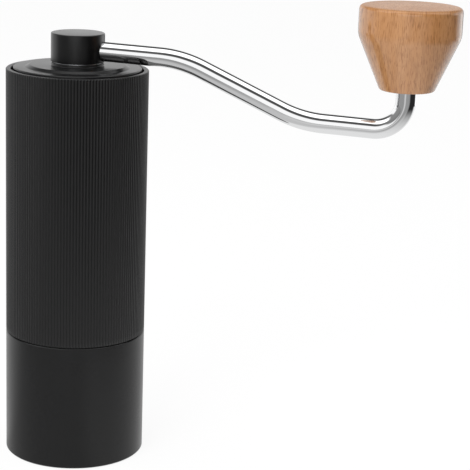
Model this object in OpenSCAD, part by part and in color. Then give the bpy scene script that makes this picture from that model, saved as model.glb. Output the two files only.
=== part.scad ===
// Hand crank coffee grinder with a ribbed sleeve, screw-on catch cup and conical burrs.
// Z runs up the drive shaft from the table; the crank points along +X.

/* [Body] */
// Outside diameter of the sleeve and the catch cup
body_d = 52; // [51.6:0.2:56]
// Height of the sleeve's rim above the table
rim_z = 145.9; // [142:0.1:156]
// Height of the seam between cup and sleeve
seam_z = 47; // [44:0.5:50]
// Wall of the outer sleeve
sleeve_wall = 1.8; // [1.4:0.1:1.9]
// Number of grip ribs around the sleeve
rib_n = 144; // [90:6:180]
// Depth of the valleys between the ribs
rib_depth = 0.25; // [0.15:0.05:0.4]
// Height of the plain band between the ribs and the rim's chamfer
rim_band = 0.2; // [0.1:0.1:2]
// Chamfer on the rim of the sleeve
rim_chamfer = 0.3; // [0.2:0.1:0.8]
// Depth from the rim down to the top of the inner barrel
lid_recess = 2.4; // [2:0.1:3]
// Wall of the bean chamber
barrel_wall = 2.5; // [2:0.1:2.8]
// Extra radius of the bore above the ledge that carries the upper bridge
ledge_step = 0.7; // [0.5:0.1:1]
// Height of the thin flange that shows as the seam
seam_flange_h = 0.3; // [0.2:0.1:0.6]
// How far the seam flange is set back from the outside
seam_inset = 0.7; // [0.4:0.1:1]

/* [Catch cup] */
// Height of the rubber pad that the grinder stands on
pad_h = 2; // [1.5:0.1:2.6]
// Distance from the cup's outside in to the rubber pad
pad_inset = 4.5; // [4:0.1:7]
// Depth of the grooves in the pad's underside
pad_groove = 0.6; // [0.4:0.1:1]
// Gap between the table and the metal edge of the cup
cup_edge_z = 0.2; // [0.1:0.1:0.6]
// Thickness of the cup's floor
cup_floor = 3; // [2:0.1:4]
// Wall of the cup below its thread
cup_wall = 2.1; // [1.5:0.1:2.4]
// Fillet radius between the cup's wall and floor, inside
cup_fillet = 4; // [2:0.5:8]
// Chamfer at the outer edges of the cup
cup_chamfer = 0.5; // [0.2:0.1:0.8]

/* [Cup thread] */
// Wall of the cup outside its thread
thread_wall = 2.55; // [2.2:0.05:2.8]
// Depth of the thread on the spigot
thread_depth = 0.6; // [0.4:0.05:0.7]
// Wall of the spigot, from its pilot in to the ring burr
spigot_wall = 4.28; // [4:0.02:4.6]
// Length of the threaded spigot below the seam
spigot_h = 9; // [8:0.5:11]
// Height of the plain pilot above the thread
pilot_h = 1.2; // [0.8:0.1:2]
// Depth of the cup's bore below the foot of the spigot
bore_runout = 0.8; // [0.5:0.1:1.5]

/* [Burrs] */
// Height of the ring burr
ring_h = 12; // [11:0.5:14]
// Depth of the ring burr's lower face inside the spigot
ring_inset = 3; // [2.5:0.1:4]
// Wall of the ring burr at its lower mouth
ring_wall = 2.1; // [1.9:0.1:2.6]
// Height of the fine teeth of the ring burr
fine_h = 5.5; // [4.5:0.5:6]
// Change of radius along the fine teeth
fine_taper = 1.6; // [1.2:0.1:1.8]
// Wall of the ring burr at its top
ring_top_wall = 2.8; // [2.5:0.1:3.2]
// Chamfer at the burrs' outer edges
burr_edge = 0.3; // [0.2:0.1:0.5]
// Radial gap between the two cones at the stored setting
burr_gap = 0.45; // [0.4:0.05:0.6]
// How far the inner burr reaches below the ring burr
burr_drop = 1.5; // [1:0.1:2]
// Height of the inner burr's breaker cone, above its fine teeth
breaker_h = 11.5; // [10:0.5:12]
// Fine teeth on each burr
fine_teeth = 36; // [24:2:42]
// Depth of the fine teeth
fine_depth = 0.75; // [0.4:0.05:0.9]
// Skew of the fine teeth from the cone's own lines, degrees
fine_skew = 14; // [5:1:20]
// Spiral blades on the inner burr
blade_n = 6; // [5:1:8]
// Depth of the flutes between the spiral blades
blade_depth = 2.6; // [1.5:0.1:2.8]
// Skew of the spiral blades, degrees
blade_skew = 38; // [25:1:42]
// Feed flutes inside the ring burr
feed_n = 12; // [8:1:14]
// Depth of the feed flutes
feed_depth = 1.2; // [0.8:0.1:1.4]
// Skew of the feed flutes, degrees
feed_skew = 22; // [10:1:30]

/* [Drive shaft] */
// Radius of the shaft's journals
shaft_r = 4; // [3.8:0.05:4.2]
// Width across the two flats that drive the inner burr
shaft_flats = 6.5; // [6:0.1:6.8]
// Width across the flats of the hexagon at the shaft's top
hex_af = 6.8; // [6:0.1:6.9]
// Length of the hexagon
hex_h = 10; // [8:0.5:12]
// Core radius of the threaded lower end
stud_r = 2.6; // [2.4:0.1:2.8]
// Depth of the thread on the lower end
stud_thread = 0.35; // [0.3:0.05:0.4]
// Chamfer at the foot of the stud
stud_chamfer = 0.5; // [0.3:0.1:0.8]
// Length of the shaft's stud below the adjuster dial
stud_stick = 3.5; // [-3.5:0.5:4]
// Depth of the grooves for the retaining clips
clip_groove = 0.5; // [0.3:0.1:0.7]
// Thickness of the retaining clips
clip_t = 0.8; // [0.6:0.1:1]
// Width of the retaining clips beyond the shaft or core that they hold
clip_w = 2; // [1.6:0.1:2.4]

/* [Bearings] */
// Outside radius of the ball bearings
bearing_r = 8; // [7.8:0.1:8.6]
// Width of the ball bearings
bearing_h = 5; // [4:0.2:6]
// Radius of the balls
ball_r = 1.2; // [1:0.05:1.3]
// Balls in each bearing
ball_n = 9; // [6:1:9]
// Radial wall of the hubs that hold the bearings
hub_wall = 2.2; // [1.8:0.1:3]
// Thickness of the lip that stops each bearing
hub_lip = 1.5; // [1:0.1:2]
// Width of the lip that stops each bearing
lip_w = 1; // [0.8:0.1:1.4]
// Width of the three arms of each bridge
arm_w = 3.6; // [3:0.1:5]

/* [Bridges] */
// Depth of the ledge for the upper bridge below the rim
bridge_depth = 27.9; // [26:0.1:30]
// Height of the upper bridge's rim
bridge_h = 6; // [5:0.5:8]
// Wall of the upper bridge's rim
bridge_wall = 2; // [1.5:0.1:3]
// Height from the ring burr up to the funnel's seat
throat_h = 8; // [7:0.5:10]
// Height of the funnel that carries the lower bearing
funnel_h = 10; // [9:0.5:14]
// Width of the ledge that stops the ring burr below the throat
throat_ledge = 2; // [1.6:0.1:2.4]
// Width of the lip at the funnel's upper edge
funnel_lip = 0.6; // [0.4:0.1:1]
// Depth of the lower bearing hub's foot above the funnel's seat
hub_rise = 0.8; // [0.5:0.1:1.5]
// Height of the upper bearing hub's foot above its ledge
bridge_rise = 1.5; // [1:0.1:2]
// Edge of the upper hub above its clip
hub_edge = 0.6; // [0.5:0.1:1]
// Distance from the lower hub's top down to the ridges of its arms
arm_drop = 1.4; // [1:0.1:2]

/* [Spring and dial] */
// Gap between the shaft and the burr spring
spring_clear = 0.8; // [0.7:0.05:1]
// Wire radius of the burr spring
spring_wire = 0.5; // [0.4:0.05:0.55]
// Turns of the burr spring
spring_turns = 6; // [4:0.5:7]
// Depth of the spring's pocket in the inner burr
spring_pocket = 8; // [6:0.5:9]
// Gap between the burr spring and its pocket
pocket_clear = 0.5; // [0.4:0.05:0.6]
// Wall between the spring's pocket and the burr's top edge
pocket_wall = 1.6; // [1.3:0.1:1.8]
// Thickness of the click plate
plate_t = 2; // [1.6:0.1:2.4]
// Radius of the click plate
plate_r = 12.5; // [11.5:0.1:13]
// Radius of the adjuster dial
dial_r = 12; // [11:0.5:13]
// Thickness of the adjuster dial
dial_t = 6; // [5:0.5:7]
// Radius of the circle of clicks
click_r = 8.5; // [8:0.1:9]
// Clicks in one turn of the dial
click_n = 12; // [10:1:16]
// Radius of the click balls
click_ball = 1; // [0.8:0.05:1.1]
// Depth of the click balls' pockets in the inner burr
click_pocket = 4; // [3.5:0.5:5]
// Radius of the finger scallops around the dial
scallop_r = 2.2; // [1.8:0.1:2.6]

/* [Lid] */
// Gap that shows between the lid and the sleeve
lid_gap = 0.8; // [0.6:0.05:1]
// Height of the lid's outer edge
lid_edge_h = 3; // [2.6:0.1:3.6]
// Distance from the lid's edge in to the foot of its raised centre
plateau_inset = 4.4; // [3:0.1:6]
// Width of the slope up to the raised centre
plateau_slope = 1.6; // [1:0.1:4]
// Height of the lid's raised centre
plateau_h = 0.9; // [0.5:0.1:1.5]
// How far the lid's collar is set back from the hub above it
collar_inset = 0.2; // [0.1:0.1:0.8]
// Height of the collar above the raised centre
collar_h = 0.8; // [0.5:0.1:1.5]
// Depth of the lid's skirt below its edge
skirt_h = 9.5; // [8:0.5:11]
// Wall of the lid's skirt
skirt_wall = 2; // [1.8:0.1:2.4]
// Thickness of the lid's plate
lid_plate = 1.9; // [1.5:0.1:2.4]
// Radius of the seal ring's round section
seal_r = 0.7; // [0.5:0.05:0.8]
// Height of the seal ring above the lower edge of the skirt
seal_rise = 2.7; // [2.2:0.1:4]
// Length of the lid's bush
bush_h = 10.2; // [8:0.2:10.6]
// Wall of the lid's bush
bush_wall = 1.6; // [1.2:0.1:2]

/* [Crank] */
// Radius of the crank's hub
hub_r = 9.8; // [9.6:0.1:11]
// Height of the crank's hub
hub_h = 10.4; // [10:0.1:12]
// Thickness of the washer under the hub
washer_t = 0.35; // [0.3:0.05:0.6]
// Radius of the steel core that passes through the lid
core_r = 6.5; // [6.3:0.1:6.8]
// Gap between the upper bearing's hub and the core's foot
core_gap = 1.4; // [1:0.1:2]
// Room above the hexagon in the core's socket
socket_room = 1.5; // [1:0.1:2]
// Thickness of the hub above its core
hub_cap = 2; // [1.5:0.1:2.6]
// Radius of the crank arm's rod
rod_r = 3.6; // [3.2:0.05:3.8]
// Height of the rod's axis above the hub's foot, on the hub's own axis
rod_rise = 4.37; // [4.2:0.01:5]
// Length from the shaft's axis to the first bend
bend1_x = 38.65; // [34:0.05:44]
// Fall of the rod to the first bend
bend1_fall = 1.37; // [1:0.01:2]
// Length from the shaft's axis to the second bend
bend2_x = 82.7; // [78:0.1:88]
// Fall of the rod from the first to the second bend
bend2_fall = 19.7; // [16:0.1:22]
// Length from the shaft's axis to the knob's axis
crank_len = 119.8; // [114:0.1:128]
// Fall of the rod from the second bend to the knob's axis
bend3_fall = 1.4; // [1:0.1:2]
// Centreline radius of the two soft bends
soft_bend_r = 42; // [30:1:46]
// Centreline radius of the bend below the knob
knob_bend_r = 10.8; // [7:0.1:14]
// How far the rod reaches past the hub's axis
rod_tail = 7; // [5:0.5:7.5]
// Radius of the grub screw that locks the rod
grub_r = 2; // [1.5:0.1:2.4]

/* [Knob] */
// Straight length of the rod between its last bend and the knob
neck_h = 3.7; // [1:0.1:8]
// Height of the knob
knob_h = 29.8; // [27:0.1:34]
// Largest radius of the knob
knob_r = 18.1; // [17:0.1:20]
// Radius of the knob's foot
knob_foot_r = 9.7; // [9:0.1:11]
// Height of the tapered lower part of the knob
knob_cone_h = 17.4; // [15:0.1:19]
// Radius at the top of the tapered part
knob_cone_r = 17.3; // [16:0.05:17.6]
// Rounding of the knob's top edge
knob_edge_r = 1.6; // [1:0.1:2.4]
// Radius of the knob's brass insert
insert_r = 5; // [4.6:0.1:6]
// Length of the knob's brass insert
insert_h = 19.2; // [16:0.1:20]
// Rounding of the knob's foot
knob_foot_edge = 0.9; // [0.6:0.1:1.4]
// Radius of the spindle inside the insert
spindle_r = 2.9; // [2.6:0.05:3]
// Length of the spindle beyond its clip
spindle_tip = 1.6; // [1.2:0.1:2]

/* [Fits and gaps] */
// Radial gap of a piece that is pressed or glued in place
press_gap = 0.02; // [0.01:0.01:0.04]
// Radial gap of a running fit
run_gap = 0.05; // [0.03:0.01:0.09]
// Radial gap between screwed or loosely seated round pieces
seat_gap = 0.15; // [0.1:0.05:0.25]
// Gap between flat faces that turn past each other
face_gap = 0.1; // [0.05:0.05:0.2]
// Gap between the balls and their races or cages
ball_gap = 0.05; // [0.03:0.01:0.1]

/* [Fasteners] */
// Shank radius of the small screws
screw_r = 1; // [0.8:0.1:1.2]
// Head radius of the small screws
screw_head_r = 1.7; // [1.5:0.1:1.9]
// Head height of the small screws
screw_head_h = 1.4; // [1:0.1:1.8]
// Wall between the ring burr and its screws
screw_wall = 0.3; // [0.2:0.05:0.4]
// Length of the ring burr's screws under their heads
ring_screw_l = 7; // [5:0.5:9]
// Length of the click plate's screws
plate_screw_l = 5; // [4:0.5:6]

/* [Hidden] */
$fn = 96;
eps = 0.01;
cut = 1;
body_r = body_d / 2;
sleeve_bore = body_r - sleeve_wall;
barrel_r = sleeve_bore - face_gap;
chamber_r = barrel_r - barrel_wall;
upper_bore = chamber_r + ledge_step;
barrel_top = rim_z - lid_recess;
flange_r = body_r - seam_inset;
sleeve_foot = seam_z + seam_flange_h;
rib_top = rim_z - rim_chamfer - rim_band;
rib_set = 0.03;
small_edge = 0.3;
edge = 0.4;
tip_room = 0.5;
small_fn = 32;

// levels and radii of the lower end, counted from the seam and in from the outside
cup_thread_r = body_r - thread_wall;
spigot_r = cup_thread_r - seat_gap;
thread_core_r = spigot_r - thread_depth;
ring_bore = spigot_r - spigot_wall;
ring_r = ring_bore - press_gap;
ring_mouth_r = ring_r - ring_wall;
ring_top_r = ring_r - ring_top_wall;
throat_r = ring_bore - throat_ledge;
pad_r = body_r - pad_inset;
spigot_foot = seam_z - spigot_h;
ring_foot = spigot_foot + ring_inset;
ring_top = ring_foot + ring_h;
cup_top = seam_z - face_gap;
cup_inner_r = body_r - cup_wall;
cup_floor_z = pad_h + cup_floor;
pad_recess_r = pad_r + seat_gap;
thread_bottom = spigot_foot - bore_runout;
funnel_seat = ring_top + throat_h;
funnel_r = chamber_r - face_gap;
funnel_top = funnel_seat + funnel_h;

// levels and radii of the burr, the click plate and the dial
spring_r = shaft_r + spring_clear + spring_wire;
pocket_r = spring_r + spring_wire + pocket_clear;
burr_top_r = pocket_r + pocket_wall;
fine_slope = fine_taper / fine_h;
burr_foot = ring_foot - burr_drop;
burr_fine_top = ring_foot + fine_h;
burr_top = burr_fine_top + breaker_h;
burr_foot_r = ring_mouth_r - burr_gap + burr_drop * fine_slope;
burr_mid_r = ring_mouth_r - burr_gap - fine_taper;
breaker_slope = (burr_mid_r - burr_top_r) / breaker_h;
plate_foot = burr_foot - plate_t;
dial_top = plate_foot - face_gap;
dial_foot = dial_top - dial_t;
stud_foot = dial_foot - stud_stick;
dial_travel_up = 1;
dial_play = 0.1;
flats_foot = dial_top + dial_travel_up + dial_play;
flats_top = burr_top + dial_travel_up;
dial_bore = stud_r + stud_thread + seat_gap;
tooth_share = 0.8;
driver_share = 0.7;
sink_h = 1;
tooth_overrun = 2.4;
feed_turn = 4;

// levels of the lower bearing
hub_foot = funnel_seat + hub_rise;
lower_bearing_z = hub_foot + clip_t + face_gap;
hub_r_out = bearing_r + hub_wall;
lip_r = bearing_r - lip_w;
lower_hub_top = lower_bearing_z + bearing_h + hub_lip;
spring_top = lower_bearing_z - face_gap - clip_t;
spring_foot = burr_top - spring_pocket;
lower_clip_z = lower_bearing_z + bearing_h + face_gap;

// levels of the upper bearing and the shaft's top
bridge_seat = rim_z - bridge_depth;
bridge_r = upper_bore - face_gap;
upper_hub_foot = bridge_seat + bridge_rise;
upper_bearing_z = upper_hub_foot + hub_lip;
bridge_clip_z = upper_bearing_z + bearing_h + face_gap;
upper_hub_top = bridge_clip_z + clip_t + hub_edge;
upper_clip_z = upper_bearing_z + bearing_h + face_gap;
hex_foot = upper_hub_top;
hex_top = hex_foot + hex_h;
clip_outer_r = bearing_r + clip_groove;
clip_inner_r = lip_r + 0.2;
arm_n = 3;
arm_root = 1.2;
hub_clip_gap = 30;
shaft_clip_gap = 65;
shaft_clip_r = shaft_r + clip_w;

// levels of the lid and the hub
lid_r = sleeve_bore - lid_gap;
lid_top = barrel_top + lid_edge_h;
plateau_foot_r = lid_r - plateau_inset;
plateau_top_r = plateau_foot_r - plateau_slope;
collar_r = hub_r - collar_inset;
plateau_top = lid_top + plateau_h;
collar_top = plateau_top + collar_h;
skirt_r = upper_bore - face_gap * 2;
skirt_foot = barrel_top - skirt_h;
seal_z = skirt_foot + seal_rise;
seal_ring_r = skirt_r + face_gap - seal_r;
core_bore = core_r + run_gap;
bush_r = core_bore + bush_wall;
bush_foot = collar_top - bush_h;
washer_z = collar_top + face_gap / 2;
washer_inset = 0.7;
hub_z = washer_z + washer_t;
hub_top = hub_z + hub_h;
rod_z = hub_z + rod_rise;
core_clip_z = bush_foot - face_gap - clip_t;
core_foot = hex_foot + core_gap;
socket_top = hex_top + socket_room;
core_top = hub_top - hub_cap;
grub_z = socket_top + cut;
grub_top = rod_z - rod_r - face_gap;

// the crank's line: straight runs that meet at three corners
corners = [
    [-rod_tail, rod_z + rod_tail * bend1_fall / bend1_x],
    [bend1_x, rod_z - bend1_fall],
    [bend2_x, rod_z - bend1_fall - bend2_fall],
    [crank_len, rod_z - bend1_fall - bend2_fall - bend3_fall],
];
knob_z = corners[3][1] + bend_trim(3) + neck_h;
knob_top = knob_z + knob_h;
shoulder_z = knob_z - washer_t - face_gap;
insert_bore = spindle_r + run_gap;
insert_top = knob_z + insert_h;
spindle_clip_z = insert_top + face_gap;
spindle_clip_r = insert_r - seat_gap;
spindle_top = spindle_clip_z + clip_t + spindle_tip;
bend_lap = 0.5;
bend_step = 0.02;
knob_bore_top = spindle_top + tip_room;

// ---- shared shapes ----

// Round ring with a plain bore, standing on height z
module ring(r_out, r_in, z, h) {
    translate([0, 0, z])
        difference() {
            cylinder(r = r_out, h = h);
            translate([0, 0, -cut]) cylinder(r = r_in, h = h + 2 * cut);
        }
}

// Copies of the children evenly round the Z axis
module around(n, from = 0) {
    for (i = [0:n - 1])
        rotate(from + i * 360 / n) children();
}

// Spring clip: a thin ring with a gap of the given angle
module split_ring(r_out, r_in, z, gap_angle) {
    translate([0, 0, z])
        rotate(gap_angle / 2)
            rotate_extrude(angle = 360 - gap_angle)
                translate([r_in, 0]) square([r_out - r_in, clip_t]);
}

// V-shaped cutter laid on a cone: r and z of the surface point, slope of the cone
module cone_cutter(r, z, slope, skew, depth, width, length, lead = 0.5, side = 1) {
    translate([r, 0, z])
        rotate([0, -atan(slope), 0])
            rotate([skew, 0, 0])
                linear_extrude(length, center = true)
                    polygon([
                        [-side * depth, 0],
                        [side * cut, -width * lead * (1 + cut / depth)],
                        [side * cut, width * (1 - lead) * (1 + cut / depth)],
                    ]);
}

// Point of a coil at turn t: its ends lie flat for most of a turn
function coil_z(t, turns, z0, z1) =
    let (u = min(max((t - 0.6) / (turns - 1.2), 0), 1)) z0 + (z1 - z0) * u;

// Coil spring of round wire swept from sections of the given number of sides
module coil(r, wire, turns, z0, z1, steps, sides) {
    rings = round(turns * steps);
    points = [
        for (i = [0:rings], j = [0:sides - 1])
            let (t = i / steps, a = 360 * t, b = 360 * j / sides, q = r + wire * cos(b))
                [q * cos(a), q * sin(a), coil_z(t, turns, z0, z1) + wire * sin(b)]
    ];
    walls = [
        for (i = [0:rings - 1], j = [0:sides - 1])
            let (a = i * sides + j, b = i * sides + (j + 1) % sides)
                [a, a + sides, b + sides, b]
    ];
    start = [for (j = [0:sides - 1]) j];
    end = [for (j = [sides - 1:-1:0]) rings * sides + j];
    polyhedron(points, concat([start], walls, [end]), convexity = 10);
}

// ---- bearings: z is the foot of the bearing ----

function race_mid() = (shaft_r + bearing_r) / 2;

module ball_groove(z) {
    translate([0, 0, z + bearing_h / 2])
        rotate_extrude()
            translate([race_mid(), 0]) circle(r = ball_r + ball_gap, $fn = 48);
}

module outer_race(z) {
    difference() {
        ring(bearing_r, race_mid() + ball_r * 0.62, z, bearing_h);
        ball_groove(z);
    }
}

module inner_race(z) {
    difference() {
        ring(race_mid() - ball_r * 0.62, shaft_r + press_gap, z, bearing_h);
        ball_groove(z);
    }
}

module balls(z) {
    around(ball_n)
        translate([race_mid(), 0, z + bearing_h / 2]) sphere(r = ball_r, $fn = 32);
}

module cage(z) {
    cage_t = ball_r * 0.5;
    cage_h = ball_r * 3;
    difference() {
        ring(race_mid() + cage_t / 2, race_mid() - cage_t / 2, z + (bearing_h - cage_h) / 2, cage_h);
        around(ball_n)
            translate([race_mid() - ball_r, 0, z + bearing_h / 2])
                rotate([0, 90, 0]) cylinder(r = ball_r + ball_gap, h = 2 * ball_r, $fn = 32);
    }
}

// Arm from a hub to a rim, with a ridge on top so that beans slide off
module bridge_arm(r_from, r_to, z, h) {
    translate([r_from, 0, z])
        rotate([90, 0, 90])
            linear_extrude(r_to - r_from)
                polygon([
                    [-arm_w / 2, 0],
                    [arm_w / 2, 0],
                    [arm_w / 2, h - arm_w / 2],
                    [0, h],
                    [-arm_w / 2, h - arm_w / 2],
                ]);
}

// ---- body: everything that stands still ----

module grip_sleeve() {
    rib_step = 360 / rib_n;
    rib_outline = [
        for (i = [0:rib_n - 1], k = [0:3])
            let (a = (i + k / 4) * rib_step, r = body_r - rib_set - rib_depth * (1 - sin(45 * k)))
                [r * cos(a), r * sin(a)]
    ];
    color([0.13, 0.13, 0.14])
        difference() {
            union() {
                translate([0, 0, sleeve_foot])
                    linear_extrude(rib_top - sleeve_foot) polygon(rib_outline);
                translate([0, 0, rib_top]) cylinder(r = body_r, h = rim_band);
                translate([0, 0, rim_z - rim_chamfer])
                    cylinder(r1 = body_r, r2 = body_r - rim_chamfer, h = rim_chamfer);
            }
            translate([0, 0, sleeve_foot - cut])
                cylinder(r = sleeve_bore, h = rim_z - sleeve_foot + 2 * cut);
        }
}

module ring_screw_places() {
    around(3, 30)
        translate([ring_r + screw_wall + screw_r, 0, ring_foot]) children();
}

module inner_barrel() {
    color([0.2, 0.2, 0.21])
        difference() {
            rotate_extrude()
                polygon([
                    [ring_bore, spigot_foot],
                    [thread_core_r - cup_chamfer, spigot_foot],
                    [thread_core_r, spigot_foot + cup_chamfer],
                    [thread_core_r, seam_z - pilot_h],
                    [spigot_r, seam_z - pilot_h],
                    [spigot_r, seam_z],
                    [flange_r, seam_z],
                    [flange_r, sleeve_foot],
                    [barrel_r, sleeve_foot],
                    [barrel_r, barrel_top],
                    [upper_bore, barrel_top],
                    [upper_bore, bridge_seat],
                    [chamber_r, bridge_seat],
                    [chamber_r, funnel_seat],
                    [throat_r, funnel_seat],
                    [throat_r, ring_top],
                    [ring_bore, ring_top],
                ]);
            ring_screw_places() {
                translate([0, 0, -ring_inset - cut])
                    cylinder(r = screw_head_r + seat_gap, h = ring_inset + cut, $fn = small_fn);
                cylinder(r = screw_r + press_gap, h = ring_screw_l + tip_room, $fn = small_fn);
            }
        }
}

module ring_burr() {
    bore_mid_r = ring_mouth_r - fine_taper;
    feed_h = ring_h - fine_h;
    feed_slope = (ring_top_r - bore_mid_r) / feed_h;
    fine_pitch = 2 * PI * bore_mid_r / fine_teeth;
    feed_w = 2 * PI * bore_mid_r / feed_n * 0.6;
    color([0.62, 0.63, 0.65])
        difference() {
            rotate_extrude()
                polygon([
                    [ring_mouth_r, ring_foot],
                    [ring_r - burr_edge, ring_foot],
                    [ring_r, ring_foot + burr_edge],
                    [ring_r, ring_top],
                    [ring_top_r, ring_top],
                    [bore_mid_r, ring_foot + fine_h],
                ]);
            around(fine_teeth)
                cone_cutter(ring_mouth_r - fine_taper / 2, ring_foot + fine_h / 2, fine_slope,
                    -fine_skew, fine_depth, fine_pitch * tooth_share, fine_h + tooth_overrun, 0.25, -1);
            around(feed_n, feed_turn)
                cone_cutter(bore_mid_r + feed_slope * feed_h / 2, ring_top - feed_h / 2, -feed_slope,
                    -feed_skew, feed_depth, feed_w, feed_h + tooth_overrun, 0.3, -1);
        }
}

module ring_burr_screws() {
    color([0.75, 0.75, 0.77])
        ring_screw_places() {
            difference() {
                translate([0, 0, -screw_head_h])
                    cylinder(r = screw_head_r, h = screw_head_h, $fn = small_fn);
                translate([0, 0, -screw_head_h - cut])
                    cylinder(r = screw_r * driver_share, h = cut + screw_head_h / 2, $fn = 6);
            }
            cylinder(r = screw_r, h = ring_screw_l, $fn = small_fn);
        }
}

module lower_funnel_bridge() {
    hub_chamfer = 1;
    color([0.24, 0.24, 0.25])
        difference() {
            union() {
                rotate_extrude()
                    polygon([
                        [throat_r, funnel_seat],
                        [funnel_r, funnel_seat],
                        [funnel_r, funnel_top],
                        [funnel_r - funnel_lip, funnel_top],
                    ]);
                translate([0, 0, hub_foot]) cylinder(r = hub_r_out, h = lower_hub_top - hub_chamfer - hub_foot);
                translate([0, 0, lower_hub_top - hub_chamfer])
                    cylinder(r1 = hub_r_out, r2 = hub_r_out - hub_chamfer, h = hub_chamfer);
                around(arm_n, 90)
                    bridge_arm(hub_r_out - cut, throat_r + arm_root, hub_foot,
                        lower_hub_top - arm_drop - hub_foot);
            }
            translate([0, 0, hub_foot - cut])
                cylinder(r = bearing_r + press_gap, h = cut + clip_t + face_gap + bearing_h);
            translate([0, 0, hub_foot]) cylinder(r = lip_r, h = lower_hub_top);
            ring(clip_outer_r + face_gap, bearing_r, hub_foot + face_gap / 2, clip_t);
        }
}

module lower_bearing_outer_race() {
    color([0.7, 0.71, 0.73]) outer_race(lower_bearing_z);
}

module lower_hub_clip() {
    color([0.5, 0.5, 0.52])
        split_ring(clip_outer_r, clip_inner_r, hub_foot + face_gap / 2, hub_clip_gap);
}

module upper_bridge() {
    color([0.24, 0.24, 0.25])
        difference() {
            union() {
                ring(bridge_r, bridge_r - bridge_wall, bridge_seat, bridge_h);
                translate([0, 0, upper_hub_foot])
                    cylinder(r = hub_r_out, h = upper_hub_top - upper_hub_foot);
                around(arm_n, 90)
                    bridge_arm(hub_r_out - cut, bridge_r - bridge_wall / 2, bridge_seat, bridge_h);
            }
            translate([0, 0, upper_bearing_z])
                cylinder(r = bearing_r + press_gap, h = bearing_h + bridge_h);
            translate([0, 0, bridge_seat - cut]) cylinder(r = lip_r, h = 2 * bridge_h);
            ring(clip_outer_r + face_gap, bearing_r, bridge_clip_z, clip_t + face_gap);
        }
}

module upper_bearing_outer_race() {
    color([0.7, 0.71, 0.73]) outer_race(upper_bearing_z);
}

module upper_hub_clip() {
    color([0.5, 0.5, 0.52])
        split_ring(clip_outer_r, clip_inner_r, bridge_clip_z + face_gap / 2, hub_clip_gap);
}

// ---- drive: the shaft and what turns with it ----

module drive_shaft() {
    hex_r = hex_af / sqrt(3);
    hex_lead = 0.6;
    color([0.72, 0.73, 0.75])
        difference() {
            union() {
                translate([0, 0, stud_foot])
                    cylinder(r1 = stud_r - stud_chamfer, r2 = stud_r, h = stud_chamfer);
                translate([0, 0, stud_foot + stud_chamfer])
                    cylinder(r = stud_r, h = flats_foot - stud_foot - stud_chamfer);
                intersection() {
                    translate([0, 0, flats_foot]) cylinder(r = shaft_r, h = flats_top - flats_foot);
                    translate([-shaft_r, -shaft_flats / 2, flats_foot])
                        cube([2 * shaft_r, shaft_flats, flats_top - flats_foot]);
                }
                translate([0, 0, flats_top]) cylinder(r = shaft_r, h = hex_foot - flats_top);
                translate([0, 0, hex_foot]) cylinder(r = hex_r, h = hex_h - hex_lead, $fn = 6);
                translate([0, 0, hex_top - hex_lead])
                    intersection() {
                        cylinder(r = hex_r, h = hex_lead, $fn = 6);
                        cylinder(r1 = hex_r, r2 = hex_af / 2 - hex_lead, h = hex_lead);
                    }
            }
            for (z = [lower_clip_z, upper_clip_z])
                ring(shaft_r + cut, shaft_r - clip_groove, z, clip_t + face_gap);
        }
}

module lower_bearing_inner_race() {
    color([0.7, 0.71, 0.73]) inner_race(lower_bearing_z);
}

module upper_bearing_inner_race() {
    color([0.7, 0.71, 0.73]) inner_race(upper_bearing_z);
}

module shaft_clip(z) {
    color([0.5, 0.5, 0.52])
        split_ring(shaft_clip_r, shaft_r - clip_groove + press_gap, z + face_gap / 2, shaft_clip_gap);
}

module lower_shaft_clip() {
    shaft_clip(lower_clip_z);
}

module upper_shaft_clip() {
    shaft_clip(upper_clip_z);
}

module spring_washer() {
    color([0.75, 0.75, 0.77])
        ring(spring_r + spring_wire + edge, shaft_r + seat_gap, spring_top, clip_t);
}

module burr_spring() {
    color([0.65, 0.66, 0.68])
        coil(spring_r, spring_wire, spring_turns, spring_foot + spring_wire,
            spring_top - spring_wire, 20, 8);
}

// ---- ball trains of the two bearings ----

module lower_bearing_balls() {
    color([0.85, 0.85, 0.87]) balls(lower_bearing_z);
}

module lower_bearing_cage() {
    color([0.72, 0.6, 0.35]) cage(lower_bearing_z);
}

module upper_bearing_balls() {
    color([0.85, 0.85, 0.87]) balls(upper_bearing_z);
}

module upper_bearing_cage() {
    color([0.72, 0.6, 0.35]) cage(upper_bearing_z);
}

// ---- inner burr with its click plate ----

module plate_screw_places() {
    around(2, 90)
        translate([click_r, 0, plate_foot]) children();
}

module click_places() {
    around(2) translate([click_r, 0, 0]) children();
}

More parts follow.
